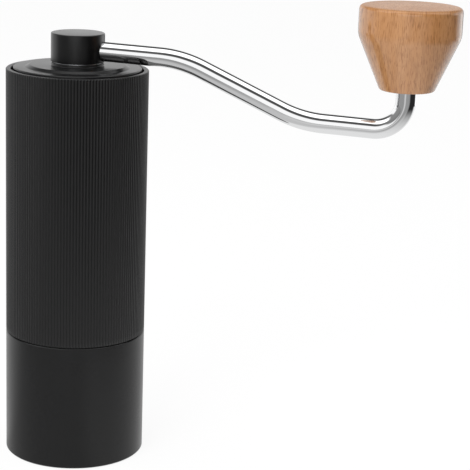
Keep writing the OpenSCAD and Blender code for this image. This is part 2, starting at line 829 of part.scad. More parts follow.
module inner_burr() {
    fine_span = burr_fine_top - burr_foot;
    fine_mid_r = (burr_foot_r + burr_mid_r) / 2;
    fine_pitch = 2 * PI * burr_mid_r / fine_teeth;
    blade_mid_r = (burr_mid_r + burr_top_r) / 2;
    flute_w = 2 * PI * blade_mid_r / blade_n * tooth_share;
    color([0.55, 0.56, 0.58])
        difference() {
            rotate_extrude()
                polygon([
                    [0, burr_foot],
                    [burr_foot_r - burr_edge, burr_foot],
                    [burr_foot_r, burr_foot + burr_edge],
                    [burr_mid_r, burr_fine_top],
                    [burr_top_r, burr_top],
                    [0, burr_top],
                ]);
            around(fine_teeth)
                cone_cutter(fine_mid_r, burr_foot + fine_span / 2, fine_slope, fine_skew,
                    fine_depth, fine_pitch * tooth_share, fine_span + tooth_overrun, 0.75);
            around(blade_n)
                cone_cutter(blade_mid_r, burr_top - breaker_h / 2, breaker_slope, blade_skew,
                    blade_depth, flute_w, breaker_h * 1.9, 0.8);
            intersection() {
                translate([0, 0, burr_foot - cut])
                    cylinder(r = shaft_r + face_gap, h = burr_top - burr_foot);
                translate([-shaft_r - cut, -shaft_flats / 2 - face_gap, burr_foot - cut])
                    cube([2 * shaft_r + 2 * cut, shaft_flats + 2 * face_gap, burr_top - burr_foot]);
            }
            translate([0, 0, spring_foot]) cylinder(r = pocket_r, h = spring_pocket + cut);
            click_places()
                translate([0, 0, burr_foot - cut])
                    cylinder(r = click_ball + ball_gap, h = cut + click_pocket, $fn = small_fn);
            plate_screw_places()
                cylinder(r = screw_r + press_gap, h = plate_screw_l + tip_room, $fn = small_fn);
        }
}

module click_plate() {
    color([0.8, 0.8, 0.82])
        difference() {
            ring(plate_r, shaft_r + seat_gap, plate_foot, plate_t);
            click_places()
                translate([0, 0, plate_foot - cut])
                    cylinder(r = click_ball + ball_gap, h = plate_t + 2 * cut, $fn = small_fn);
            plate_screw_places() {
                translate([0, 0, -cut])
                    cylinder(r = screw_r + press_gap, h = plate_t + 2 * cut, $fn = small_fn);
                translate([0, 0, -eps])
                    cylinder(r1 = screw_head_r + eps, r2 = screw_r + eps, h = sink_h, $fn = small_fn);
            }
        }
}

module click_balls() {
    color([0.85, 0.85, 0.87])
        click_places()
            translate([0, 0, plate_foot + click_ball]) sphere(r = click_ball, $fn = small_fn);
}

module click_springs() {
    wire = 0.15;
    color([0.65, 0.66, 0.68])
        click_places()
            coil(click_ball - wire - ball_gap, wire, 4, plate_foot + 2 * click_ball + wire + ball_gap,
                burr_foot + click_pocket - wire - ball_gap, 12, 6);
}

module click_plate_screws() {
    color([0.75, 0.75, 0.77])
        plate_screw_places() {
            difference() {
                cylinder(r1 = screw_head_r - ball_gap, r2 = screw_r - ball_gap, h = sink_h, $fn = small_fn);
                translate([0, 0, -cut])
                    cylinder(r = screw_r * driver_share, h = cut + sink_h / 2, $fn = 6);
            }
            cylinder(r = screw_r, h = plate_screw_l, $fn = small_fn);
        }
}

module adjuster_dial() {
    scallop_set = scallop_r * 0.55;
    dimple_set = click_ball * 0.55;
    dial_chamfer = 0.6;
    dish_h = 1.4;
    color([0.3, 0.3, 0.31])
        difference() {
            union() {
                translate([0, 0, dial_foot])
                    cylinder(r1 = dial_r - dial_chamfer, r2 = dial_r, h = dial_chamfer);
                translate([0, 0, dial_foot + dial_chamfer])
                    cylinder(r = dial_r, h = dial_t - dial_chamfer);
            }
            around(click_n)
                translate([dial_r + scallop_set, 0, dial_foot - cut])
                    cylinder(r = scallop_r, h = dial_t + 2 * cut, $fn = small_fn);
            translate([0, 0, dial_foot - cut]) cylinder(r = dial_bore, h = dial_t + 2 * cut);
            translate([0, 0, dial_foot - eps])
                cylinder(r1 = click_r - dish_h, r2 = click_r - 2 * dish_h, h = dish_h);
            around(click_n)
                translate([click_r, 0, dial_top + dimple_set])
                    sphere(r = click_ball, $fn = small_fn);
        }
}

// ---- lid ----

module lid() {
    color([0.12, 0.12, 0.13])
        rotate_extrude()
            polygon([
                [bush_r + press_gap, bush_foot],
                [collar_r - edge, bush_foot],
                [collar_r, bush_foot + edge],
                [collar_r, lid_top - lid_plate],
                [skirt_r - skirt_wall, lid_top - lid_plate],
                [skirt_r - skirt_wall, skirt_foot],
                [skirt_r - edge, skirt_foot],
                [skirt_r, skirt_foot + edge],
                [skirt_r, seal_z - seal_r - ball_gap],
                [seal_ring_r - seal_r - ball_gap, seal_z - seal_r - ball_gap],
                [seal_ring_r - seal_r - ball_gap, seal_z + seal_r + ball_gap],
                [skirt_r, seal_z + seal_r + ball_gap],
                [skirt_r, barrel_top],
                [lid_r, barrel_top],
                [lid_r, lid_top - edge],
                [lid_r - edge, lid_top],
                [plateau_foot_r, lid_top],
                [plateau_top_r + small_edge, plateau_top - small_edge / 2],
                [plateau_top_r, plateau_top],
                [collar_r, plateau_top],
                [collar_r, collar_top - small_edge],
                [collar_r - small_edge, collar_top],
                [bush_r + press_gap, collar_top],
            ]);
}

module lid_seal() {
    color([0.3, 0.3, 0.3])
        translate([0, 0, seal_z])
            rotate_extrude()
                translate([seal_ring_r, 0]) circle(r = seal_r, $fn = small_fn);
}

module lid_bush() {
    color([0.85, 0.84, 0.8]) ring(bush_r, core_bore, bush_foot, bush_h);
}

// ---- crank ----

function direction(a, b) = atan2(b[1] - a[1], b[0] - a[0]);
function bend_angle(k) =
    (k == 3 ? 90 : direction(corners[k], corners[k + 1])) - direction(corners[k - 1], corners[k]);
function bend_radius(k) = k == 3 ? knob_bend_r : soft_bend_r;
function bend_trim(k) = bend_radius(k) * tan(abs(bend_angle(k)) / 2);

// Straight run of the rod from corner k to the next. It is a hair thinner than the bends
// at its ends and reaches a little way into them.
module rod_run(k) {
    start = k == 0 ? 0 : bend_trim(k) - bend_lap;
    length = norm(corners[k + 1] - corners[k]) - start - bend_trim(k + 1) + bend_lap;
    translate(corners[k])
        rotate(direction(corners[k], corners[k + 1]))
            translate([start, 0, 0])
                rotate([0, 90, 0]) cylinder(r = rod_r - bend_step, h = length);
}

// Bend of the rod at corner k, turning left for a positive angle
module rod_bend(k) {
    turn = bend_angle(k);
    side = sign(turn);
    translate(corners[k])
        rotate(direction(corners[k - 1], corners[k]))
            translate([-bend_trim(k), side * bend_radius(k), 0])
                rotate(side > 0 ? -90 : 90 + turn)
                    rotate_extrude(angle = abs(turn))
                        translate([bend_radius(k), 0]) circle(r = rod_r, $fn = 48);
}

module crank_rod() {
    bend_end = corners[3][1] + bend_trim(3);
    color([0.85, 0.86, 0.88])
        difference() {
            union() {
                rotate([90, 0, 0]) {
                    for (k = [0:2]) rod_run(k);
                    for (k = [1:3]) rod_bend(k);
                }
                translate([crank_len, 0, bend_end]) {
                    translate([0, 0, -bend_lap])
                        cylinder(r = rod_r - bend_step, h = shoulder_z - bend_end + bend_lap);
                    cylinder(r = spindle_r, h = spindle_top - bend_end - edge);
                    translate([0, 0, spindle_top - bend_end - edge])
                        cylinder(r1 = spindle_r, r2 = spindle_r - edge, h = edge);
                }
            }
            translate([crank_len, 0, 0])
                ring(spindle_r + cut, spindle_r - clip_groove, spindle_clip_z, clip_t + face_gap);
        }
}

// Cutter for the rod's hole, along its first straight run
module rod_hole() {
    rotate([90, 0, 0])
        translate(corners[0])
            rotate(direction(corners[0], corners[1]))
                rotate([0, 90, 0]) cylinder(r = rod_r + press_gap, h = rod_tail + hub_r + cut);
}

module crank_hub() {
    color([0.1, 0.1, 0.11])
        difference() {
            rotate_extrude()
                polygon([
                    [0, hub_z],
                    [hub_r - small_edge, hub_z],
                    [hub_r, hub_z + small_edge],
                    [hub_r, hub_top - edge],
                    [hub_r - edge, hub_top],
                    [0, hub_top],
                ]);
            translate([0, 0, hub_z - cut]) cylinder(r = core_r + press_gap, h = core_top - hub_z + cut);
            rod_hole();
        }
}

module crank_core() {
    color([0.6, 0.61, 0.63])
        difference() {
            translate([0, 0, core_foot]) cylinder(r = core_r, h = core_top - core_foot);
            translate([0, 0, core_foot - cut])
                cylinder(r = (hex_af + 2 * face_gap) / sqrt(3), h = socket_top - core_foot + cut, $fn = 6);
            translate([0, 0, core_foot - eps])
                cylinder(r1 = shaft_r + cut, r2 = hex_af / 2, h = cut);
            cylinder(r = grub_r + press_gap, h = rod_z);
            ring(core_r + cut, core_r - clip_groove, core_clip_z, clip_t + face_gap);
            rod_hole();
        }
}

module rod_grub_screw() {
    color([0.3, 0.3, 0.32])
        translate([0, 0, grub_z])
            difference() {
                cylinder(r = grub_r, h = grub_top - grub_z, $fn = small_fn);
                translate([0, 0, -cut]) cylinder(r = grub_r * driver_share, h = cut + grub_r, $fn = 6);
            }
}

module hub_washer() {
    color([0.7, 0.71, 0.73]) ring(collar_r - washer_inset, core_r + press_gap, washer_z, washer_t);
}

module core_clip() {
    color([0.5, 0.5, 0.52])
        split_ring(core_r + clip_w, core_r - clip_groove + press_gap, core_clip_z + face_gap / 2,
            shaft_clip_gap);
}

module knob_washer() {
    color([0.7, 0.71, 0.73])
        translate([crank_len, 0, 0]) ring(insert_r, spindle_r + press_gap, shoulder_z, washer_t);
}

module spindle_clip() {
    color([0.5, 0.5, 0.52])
        translate([crank_len, 0, 0])
            split_ring(spindle_clip_r, spindle_r - clip_groove + press_gap,
                spindle_clip_z + face_gap / 2, shaft_clip_gap);
}

// ---- knob ----

function arc_points(centre, r, from, to, steps) = [
    for (i = [0:steps]) let (a = from + (to - from) * i / steps)
        [centre[0] + r * cos(a), centre[1] + r * sin(a)]
];

module knob() {
    waist_z = knob_z + knob_cone_h;
    belly_turn = atan((knob_cone_r - knob_foot_r) / (knob_cone_h - knob_foot_edge));
    belly_r = (knob_r - knob_cone_r) / (1 - cos(belly_turn));
    color([0.76, 0.57, 0.38])
        translate([crank_len, 0, 0])
            difference() {
                rotate_extrude()
                    polygon(concat(
                        [[0, knob_z]],
                        arc_points([knob_foot_r - knob_foot_edge, knob_z + knob_foot_edge], knob_foot_edge, -90, 0, 4),
                        arc_points([knob_r - belly_r, waist_z + belly_r * sin(belly_turn)], belly_r,
                            -belly_turn, 0, 10),
                        arc_points([knob_r - knob_edge_r, knob_top - knob_edge_r], knob_edge_r, 0, 84, 8),
                        [[0, knob_top]]
                    ));
                translate([0, 0, knob_z - cut])
                    cylinder(r = insert_r + press_gap, h = knob_bore_top - knob_z + cut);
            }
}

module knob_insert() {
    color([0.8, 0.66, 0.36])
        translate([crank_len, 0, 0]) ring(insert_r, insert_bore, knob_z, insert_h);
}

// ---- catch cup and pad ----

module catch_cup() {
    color([0.1, 0.1, 0.11])
        rotate_extrude()
            polygon(concat(
                [
                    [0, pad_h],
                    [pad_recess_r, pad_h],
                    [pad_recess_r, cup_edge_z],
                    [body_r - cup_chamfer, cup_edge_z],
                    [body_r, cup_edge_z + cup_chamfer],
                    [body_r, cup_top - cup_chamfer / 2],
                    [body_r - cup_chamfer / 2, cup_top],
                    [cup_thread_r + small_edge, cup_top],
                    [cup_thread_r, cup_top - small_edge],
                    [cup_thread_r, thread_bottom],
                    [cup_inner_r, thread_bottom - (cup_inner_r - cup_thread_r)],
                ],
                arc_points([cup_inner_r - cup_fillet, cup_floor_z + cup_fillet], cup_fillet, 0, -90, 8),
                [[0, cup_floor_z]]
            ));
}

module base_pad() {
    groove_n = 4;
    groove_share = 0.22;
    groove_pitch = pad_r / (groove_n + 1);
    color([0.16, 0.16, 0.16])
        difference() {
            cylinder(r = pad_r, h = pad_h);
            for (i = [1:groove_n])
                ring((i + groove_share) * groove_pitch, i * groove_pitch, -cut, cut + pad_groove);
        }
}

grip_sleeve();
inner_barrel();
ring_burr();
ring_burr_screws();
lower_funnel_bridge();
lower_bearing_outer_race();
lower_hub_clip();
upper_bridge();
upper_bearing_outer_race();
upper_hub_clip();
drive_shaft();
lower_bearing_inner_race();
upper_bearing_inner_race();
lower_shaft_clip();
upper_shaft_clip();
spring_washer();
burr_spring();
lower_bearing_balls();
lower_bearing_cage();
upper_bearing_balls();
upper_bearing_cage();
inner_burr();
click_plate();
click_balls();
click_springs();
click_plate_screws();
adjuster_dial();
lid();
lid_seal();
lid_bush();
crank_hub();
crank_core();
crank_rod();
rod_grub_screw();
hub_washer();
core_clip();
knob_washer();
spindle_clip();
knob();
knob_insert();
catch_cup();
base_pad();
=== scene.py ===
"""Hand crank coffee grinder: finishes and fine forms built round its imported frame.

Lengths are millimetres in the shape code and metres in the meshes. The frame's own boxes give
the places of the pieces; the profiles and patterns are worked out from the fields of each class.
"""
import logging
import math
from dataclasses import dataclass
from enum import Enum
from typing import Callable, Sequence

import bpy
import numpy as np
from mathutils import Matrix, Vector


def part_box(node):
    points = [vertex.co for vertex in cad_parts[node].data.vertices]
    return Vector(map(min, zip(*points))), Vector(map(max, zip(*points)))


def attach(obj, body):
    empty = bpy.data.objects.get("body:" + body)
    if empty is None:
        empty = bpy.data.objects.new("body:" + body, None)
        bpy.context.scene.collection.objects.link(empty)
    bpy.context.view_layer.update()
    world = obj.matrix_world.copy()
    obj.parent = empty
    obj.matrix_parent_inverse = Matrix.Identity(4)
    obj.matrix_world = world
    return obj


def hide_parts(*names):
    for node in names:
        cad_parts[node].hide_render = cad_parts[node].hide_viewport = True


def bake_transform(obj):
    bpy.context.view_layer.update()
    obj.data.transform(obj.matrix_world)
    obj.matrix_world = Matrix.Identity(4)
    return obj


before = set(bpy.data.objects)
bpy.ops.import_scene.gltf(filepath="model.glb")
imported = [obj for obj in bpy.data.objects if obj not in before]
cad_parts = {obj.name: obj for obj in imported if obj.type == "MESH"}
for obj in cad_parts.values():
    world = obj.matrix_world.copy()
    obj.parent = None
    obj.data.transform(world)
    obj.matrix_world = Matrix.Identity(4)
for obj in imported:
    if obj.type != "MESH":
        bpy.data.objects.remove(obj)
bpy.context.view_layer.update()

MM = 0.001
TURN = 2.0 * math.pi
TINY = 1e-6
CRANK_LENGTH = 119.8
KNOB_MIDDLE = 160.0
KNOB_WORN = 1.015
CUP_BORE = 23.45
LOG = logging.getLogger("grinder")


# ---------------------------------------------------------------- shader wiring


class Sig:
    """A socket in a node tree. Arithmetic on it adds Math nodes to the same tree."""

    def __init__(self, tree: "Wiring", socket: object) -> None:
        """Keeps the tree and the socket.

        Args:
            tree: the wiring that the socket belongs to.
            socket: an output socket.
        """
        self.tree = tree
        self.socket = socket

    def _math(self, operation: str, *values: object) -> "Sig":
        """Adds one Math node and returns its output."""
        inputs = dict(enumerate(values))
        return self.tree.node("ShaderNodeMath", {"operation": operation}, inputs).out()

    def __add__(self, other: object) -> "Sig":
        """self + other."""
        return self._math("ADD", self, other)

    def __radd__(self, other: object) -> "Sig":
        """other + self."""
        return self._math("ADD", other, self)

    def __sub__(self, other: object) -> "Sig":
        """self - other."""
        return self._math("SUBTRACT", self, other)

    def __rsub__(self, other: object) -> "Sig":
        """other - self."""
        return self._math("SUBTRACT", other, self)

    def __mul__(self, other: object) -> "Sig":
        """self * other."""
        return self._math("MULTIPLY", self, other)

    def __rmul__(self, other: object) -> "Sig":
        """other * self."""
        return self._math("MULTIPLY", other, self)

    def __pow__(self, other: object) -> "Sig":
        """self to the power other."""
        return self._math("POWER", self, other)

    def ramp(self, low: float, high: float) -> "Sig":
        """Smooth step from 0 to 1.

        Args:
            low: value where it is still 0.
            high: value where it has come to 1.

        Returns:
            The step.
        """
        values = {"Value": self, "From Min": low, "From Max": high}
        settings = {"interpolation_type": "SMOOTHSTEP"}
        return self.tree.node("ShaderNodeMapRange", settings, values).out()

    def angle(self, base: object) -> "Sig":
        """Angle in degrees of the vector (base, self)."""
        return self._math("ARCTAN2", self, base) * math.degrees(1.0)

    def size(self) -> "Sig":
        """The value without its sign."""
        return self._math("ABSOLUTE", self)

    def within(self, low: float, high: float, soft: float) -> "Sig":
        """1 between low and high and 0 outside, with soft borders."""
        return self.ramp(low - soft, low + soft) * (1.0 - self.ramp(high - soft, high + soft))

    def greatest(self, other: object) -> "Sig":
        """The larger of the two."""
        return self._math("MAXIMUM", self, other)


class Made:
    """A node that was just made, with a short way to reach its outputs."""

    def __init__(self, tree: "Wiring", node: bpy.types.Node) -> None:
        """Keeps the tree and the node."""
        self.tree = tree
        self.raw = node

    def out(self, key: object = 0) -> Sig:
        """One output as a signal.

        Args:
            key: the output's index or name.

        Returns:
            The wrapped socket.
        """
        return Sig(self.tree, self.raw.outputs[key])


class Wiring:
    """Makes nodes in one material or world and links them."""

    def __init__(self, tree: bpy.types.NodeTree) -> None:
        """Clears the tree, so that it holds only what is made here."""
        self.tree = tree
        tree.nodes.clear()

    def node(self, kind: str, settings: dict | None = None, values: dict | None = None) -> Made:
        """Makes a node.

        Args:
            kind: Blender's name of the node's type.
            settings: properties, set before the sockets; "stops" gives a ramp's colours.
            values: numbers, colours or signals for the input sockets, by name or index.

        Returns:
            The node, ready for its outputs to be read.
        """
        node = self.tree.nodes.new(kind)
        for name, value in (settings or {}).items():
            if name == "stops":
                self._stops(node, value)
            else:
                setattr(node, name, value)
        for key, value in (values or {}).items():
            if isinstance(value, Sig):
                self.tree.links.new(value.socket, node.inputs[key])
            else:
                node.inputs[key].default_value = value
        return Made(self, node)

    @staticmethod
    def _stops(node: bpy.types.Node, stops: Sequence[tuple[float, tuple]]) -> None:
        """Gives a colour ramp its stops.

        Args:
            node: the ramp.
            stops: a place from 0 to 1 and a colour for each stop.
        """
        elements = node.color_ramp.elements
        while len(elements) < len(stops):
            elements.new(1.0)
        for element, (place, colour) in zip(elements, stops):
            element.position = place
            element.color = colour

    def mix(self, factor: object, first: object, second: object) -> Sig:
        """Colour between first, at factor 0, and second, at factor 1."""
        values = {0: factor, 6: first, 7: second}
        return self.node("ShaderNodeMix", {"data_type": "RGBA"}, values).out(2)

    def place(self, scale: tuple = (1.0, 1.0, 1.0), shift: tuple = (0.0, 0.0, 0.0)) -> Sig:
        """Object coordinates in millimetres, shifted and then scaled.

        Args:
            scale: factors along X, Y and Z.
            shift: millimetres added before the scale.

        Returns:
            The vector signal.
        """
        spot = self.node("ShaderNodeTexCoord").out("Object")
        per_metre = tuple(factor / MM for factor in scale)
        moved = tuple(step * factor for step, factor in zip(shift, scale))
        values = {"Vector": spot, "Scale": per_metre, "Location": moved}
        return self.node("ShaderNodeMapping", None, values).out()

    def parts(self, vector: Sig) -> tuple[Sig, Sig, Sig]:
        """The three numbers of a vector."""
        node = self.node("ShaderNodeSeparateXYZ", None, {0: vector})
        return node.out(0), node.out(1), node.out(2)

    def noise(self, vector: Sig, scale: float, detail: float = 2.0, rough: float = 0.5) -> Sig:
        """Smooth noise between 0 and 1."""
        values = {"Vector": vector, "Scale": scale, "Detail": detail, "Roughness": rough}
        return self.node("ShaderNodeTexNoise", None, values).out()

    def bump(
        self, height: Sig, depth: float, strength: float = 1.0, normal: Sig | None = None
    ) -> Sig:
        """Normal bent by a height pattern.

        Args:
            height: the pattern, from 0 to 1.
            depth: what 1 stands for, in millimetres.
            strength: how much of it counts.
            normal: an earlier bump to build on.

        Returns:
            The bent normal.
        """
        values = {"Height": height, "Distance": depth * MM, "Strength": strength}
        if normal is not None:
            values["Normal"] = normal
        return self.node("ShaderNodeBump", None, values).out()


def rgba(red: float, green: float, blue: float) -> tuple[float, float, float, float]:
    """Linear colour with full alpha."""
    return (red, green, blue, 1.0)


def scaled(colour: tuple, factor: float) -> tuple[float, float, float, float]:
    """The colour made lighter or darker by a factor."""
    return (colour[0] * factor, colour[1] * factor, colour[2] * factor, 1.0)


# ---------------------------------------------------------------- finishes


@dataclass(frozen=True)
class Finish:
    """What all finishes share: a name, a colour and the constants of the shader."""

    name: str
    colour: tuple
    rough: float = 0.4
    metal: float = 0.0
    ior: float = 1.5
    coat: float = 0.0
    coat_rough: float = 0.1
    coat_ior: float = 1.5

    def pattern(self, wiring: Wiring) -> dict:
        """The values that change over the surface. A plain finish has none."""
        return {}

    def shaded(self, wiring: Wiring, signal: Sig, shade: tuple) -> Sig:
        """The colour times the first of shade where the signal is 0, the second where it is 1."""
        return wiring.mix(signal, scaled(self.colour, shade[0]), scaled(self.colour, shade[1]))

    def uneven(self, *parts: tuple[Sig, float]) -> Sig:
        """Roughness about its mean: every pattern adds its share, less half of that share.

        Args:
            parts: patterns from 0 to 1, each with its share.

        Returns:
            The roughness.
        """
        total = parts[0][0] * parts[0][1]
        for signal, share in parts[1:]:
            total = total + signal * share
        return total + (self.rough - 0.5 * sum(share for _, share in parts))

    def build(self) -> bpy.types.Material:
        """Makes the material, or finds it if it has been made.

        Returns:
            The material.
        """
        title = self.name + "_finish"
        known = bpy.data.materials.get(title)
        if known is not None:
            return known
        material = bpy.data.materials.new(title)
        material.use_nodes = True
        wiring = Wiring(material.node_tree)
        values = {
            "Base Color": self.colour,
            "Roughness": self.rough,
            "Metallic": self.metal,
            "IOR": self.ior,
            "Coat Weight": self.coat,
            "Coat Roughness": self.coat_rough,
            "Coat IOR": self.coat_ior,
        }
        values.update(self.pattern(wiring))
        surface = wiring.node("ShaderNodeBsdfPrincipled", None, values)
        wiring.node("ShaderNodeOutputMaterial", None, {0: surface.out()})
        material.diffuse_color = self.colour
        return material


@dataclass(frozen=True)
class Anodised(Finish):
    """Bead-blasted and anodised aluminium: fine grain, faint turning lines, slightly uneven.

    The scales are in cycles a millimetre, and the depths in millimetres.
    """

    shade: tuple = (0.85, 1.2)
    grain: float = 5.0
    grain_depth: float = 0.004
    grain_share: float = 0.05
    cloud: float = 0.09
    cloud_share: float = 0.06
    lines: float = 6.0
    line_depth: float = 0.0
    line_flatten: tuple = (0.004, 0.004, 1.0)

    def pattern(self, wiring: Wiring) -> dict:
        """Fine blasting grain in the normal, cloudy roughness, a shade of colour variation.

        Args:
            wiring: the material's tree.

        Returns:
            Values for the shader's sockets.
        """
        spot = wiring.place()
        fine = wiring.noise(spot, self.grain, detail=3.0, rough=0.6)
        cloud = wiring.noise(spot, self.cloud)
        normal = wiring.bump(fine, self.grain_depth)
        if self.line_depth:
            turned = wiring.noise(wiring.place(self.line_flatten), self.lines, detail=1.0)
            normal = wiring.bump(turned, self.line_depth, normal=normal)
        return {
            "Base Color": self.shaded(wiring, cloud, self.shade),
            "Roughness": self.uneven((cloud, self.cloud_share), (fine, self.grain_share)),
            "Normal": normal,
        }


@dataclass(frozen=True)
class Chrome(Finish):
    """Polished chrome plate with the faint waviness of a bent and polished rod."""

    wave: float = 0.12
    wave_depth: float = 0.06
    marks: float = 1.6
    mark_stretch: tuple = (0.25, 1.0, 1.0)
    mark_cut: tuple = (0.55, 0.8)
    mark_share: float = 0.05

    def pattern(self, wiring: Wiring) -> dict:
        """A long soft wave in the normal and faint handling marks in the roughness.

        Args:
            wiring: the material's tree.

        Returns:
            Values for the shader's sockets.
        """
        wave = wiring.noise(wiring.place(), self.wave, detail=1.0)
        marks = wiring.noise(wiring.place(self.mark_stretch), self.marks, detail=4.0, rough=0.7)
        return {
            "Roughness": marks.ramp(*self.mark_cut) * self.mark_share + self.rough,
            "Normal": wiring.bump(wave, self.wave_depth),
        }


@dataclass(frozen=True)
class Steel(Finish):
    """Ground or turned steel: fine lines round the axis and a little unevenness."""

    shade: tuple = (0.88, 1.08)
    lines: float = 3.0
    line_depth: float = 0.004
    line_share: float = 0.12
    line_flatten: tuple = (0.02, 0.02, 1.0)
    cloud: float = 0.3
    cloud_share: float = 0.08

    def pattern(self, wiring: Wiring) -> dict:
        """Turning lines from Z, and clouds of colour and gloss.

        Args:
            wiring: the material's tree.

        Returns:
            Values for the shader's sockets.
        """
        lines = wiring.noise(wiring.place(self.line_flatten), self.lines)
        cloud = wiring.noise(wiring.place(), self.cloud, detail=3.0)
        return {
            "Base Color": self.shaded(wiring, cloud, self.shade),
            "Roughness": self.uneven((lines, self.line_share), (cloud, self.cloud_share)),
            "Normal": wiring.bump(lines, self.line_depth),
        }


@dataclass(frozen=True)
class Beech(Finish):
    """Steamed beech under clear lacquer: straight grain along Z with short dark rays.

    Each pattern has a scale in cycles a millimetre and factors that stretch it along the grain.
    """

    centre: tuple = (0.0, 0.0, 0.0)
    dark: tuple = (0.215, 0.08, 0.016, 1.0)
    light: tuple = (0.395, 0.19, 0.073, 1.0)
    band: float = 0.16
    band_stretch: tuple = (1.0, 0.5, 0.08)
    band_cut: tuple = (0.35, 0.65)
    streak: float = 0.9
    streak_stretch: tuple = (1.0, 0.3, 0.05)
    streak_cut: tuple = (0.45, 0.68)
    streak_share: float = 0.45
    streak_shade: float = 0.72
    streak_rough: float = 0.12
    ray: float = 3.4
    ray_stretch: tuple = (1.3, 0.12, 0.1)
    ray_cut: tuple = (0.51, 0.66)
    ray_share: float = 0.9
    pore: float = 3.5
    pore_stretch: tuple = (1.0, 1.0, 0.12)
    pore_depth: float = 0.012
    pore_strength: float = 0.5
    worn_z: float = 0.0
    worn_blend: float = 0.4
    worn_coat: float = 0.32

    def pattern(self, wiring: Wiring) -> dict:
        """Soft bands across the growth rings, thin dark rays, open pores in the normal, and
        lacquer rubbed thin above worn_z.

        Args:
            wiring: the material's tree.

        Returns:
            Values for the shader's sockets.
        """
        shift = tuple(-v for v in self.centre)
        bands = wiring.noise(wiring.place(self.band_stretch, shift), self.band)
        streak = wiring.noise(
            wiring.place(self.streak_stretch, shift), self.streak, detail=3.0, rough=0.6)
        rays = wiring.noise(wiring.place(self.ray_stretch, shift), self.ray)
        pores = wiring.noise(wiring.place(self.pore_stretch, shift), self.pore)
        tone = wiring.mix(bands.ramp(*self.band_cut), self.light, self.colour)
        veins = streak.ramp(*self.streak_cut) * self.streak_share
        tone = wiring.mix(veins, tone, scaled(self.colour, self.streak_shade))
        tone = wiring.mix(rays.ramp(*self.ray_cut) * self.ray_share, tone, self.dark)
        rise = wiring.parts(wiring.place())[2]
        rubbed = rise.ramp(self.worn_z - self.worn_blend, self.worn_z + self.worn_blend)
        return {
            "Base Color": tone,
            "Coat Weight": self.coat - rubbed * (self.coat - self.worn_coat),
            "Roughness": streak * self.streak_rough + self.rough,
            "Normal": wiring.bump(pores, self.pore_depth, self.pore_strength),
        }


@dataclass(frozen=True)
class Moulded(Finish):
    """Moulded plastic or rubber: spark-eroded texture and slightly cloudy gloss."""

    shade: tuple = (0.85, 1.15)
    grain: float = 3.0
    grain_depth: float = 0.012
    cloud: float = 0.15
    cloud_share: float = 0.12

    def pattern(self, wiring: Wiring) -> dict:
        """Even texture in the normal and slow changes of gloss.

        Args:
            wiring: the material's tree.

        Returns:
            Values for the shader's sockets.
        """
        spot = wiring.place()
        fine = wiring.noise(spot, self.grain, detail=3.0, rough=0.6)
        cloud = wiring.noise(spot, self.cloud)
        return {
            "Base Color": self.shaded(wiring, cloud, self.shade),
            "Roughness": self.uneven((cloud, self.cloud_share)),
            "Normal": wiring.bump(fine, self.grain_depth),
        }


BLACK = rgba(0.0035, 0.0035, 0.0037)
SLEEVE_BLACK = Anodised("sleeve_black", BLACK, rough=0.36, grain=6.0, grain_depth=0.003)
CUP_BLACK = Anodised(
    "cup_black", BLACK, ior=1.42, rough=0.28, grain=7.0, grain_depth=0.0022, line_depth=0.001)
HUB_BLACK = Anodised(
    "hub_black", rgba(0.002, 0.002, 0.0022), rough=0.29, grain=6.0, grain_depth=0.003)
LID_BLACK = Anodised(
    "lid_black", rgba(0.004, 0.004, 0.0043), rough=0.31, grain=6.0, grain_depth=0.003)
DIAL_BLACK = Anodised("dial_black", rgba(0.02, 0.02, 0.021), rough=0.38)
CHROME = Chrome("chrome", rgba(0.86, 0.865, 0.87), rough=0.045, metal=1.0)
BEECH = Beech(
    "beech", rgba(0.354, 0.155, 0.047), rough=0.6, coat=1.0, coat_rough=0.1, coat_ior=1.7,
    centre=(CRANK_LENGTH, 0.0, KNOB_MIDDLE), worn_z=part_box("knob")[1].z / MM - KNOB_WORN)
BURR_STEEL = Steel("burr_steel", rgba(0.42, 0.43, 0.45), rough=0.36, metal=1.0, lines=2.0)
SHAFT_STEEL = Steel("shaft_steel", rgba(0.60, 0.61, 0.63), rough=0.28, metal=1.0)
SPRING_STEEL = Steel("spring_steel", rgba(0.36, 0.37, 0.39), rough=0.34, metal=1.0)
BRASS = Steel("brass", rgba(0.72, 0.50, 0.20), rough=0.32, metal=1.0)
RUBBER = Moulded("rubber", rgba(0.014, 0.014, 0.014), rough=0.75, grain=4.0, grain_depth=0.02)
SILICONE = Moulded("silicone", rgba(0.10, 0.10, 0.10), rough=0.55)
BARREL_PLASTIC = Moulded("barrel_plastic", rgba(0.018, 0.018, 0.019), rough=0.5)
BRIDGE_PLASTIC = Moulded("bridge_plastic", rgba(0.020, 0.020, 0.021), rough=0.48)
BUSH_PLASTIC = Moulded("bush_plastic", rgba(0.60, 0.58, 0.54), rough=0.45)


# ---------------------------------------------------------------- shapes


def grid_faces(rows: int, columns: int, wrap_rows: bool) -> np.ndarray:
    """Quads of a grid that closes round its columns.

    Args:
        rows: points along the profile.
        columns: points round the axis.
        wrap_rows: whether the profile closes on itself.

    Returns:
        An array of four indices per face.
    """
    row = np.arange(rows if wrap_rows else rows - 1)
    here = np.repeat(row, columns)
    there = (here + 1) % rows
    column = np.tile(np.arange(columns), len(row))
    ahead = (column + 1) % columns
    return np.stack(
        [here * columns + column, here * columns + ahead,
         there * columns + ahead, there * columns + column], axis=1)


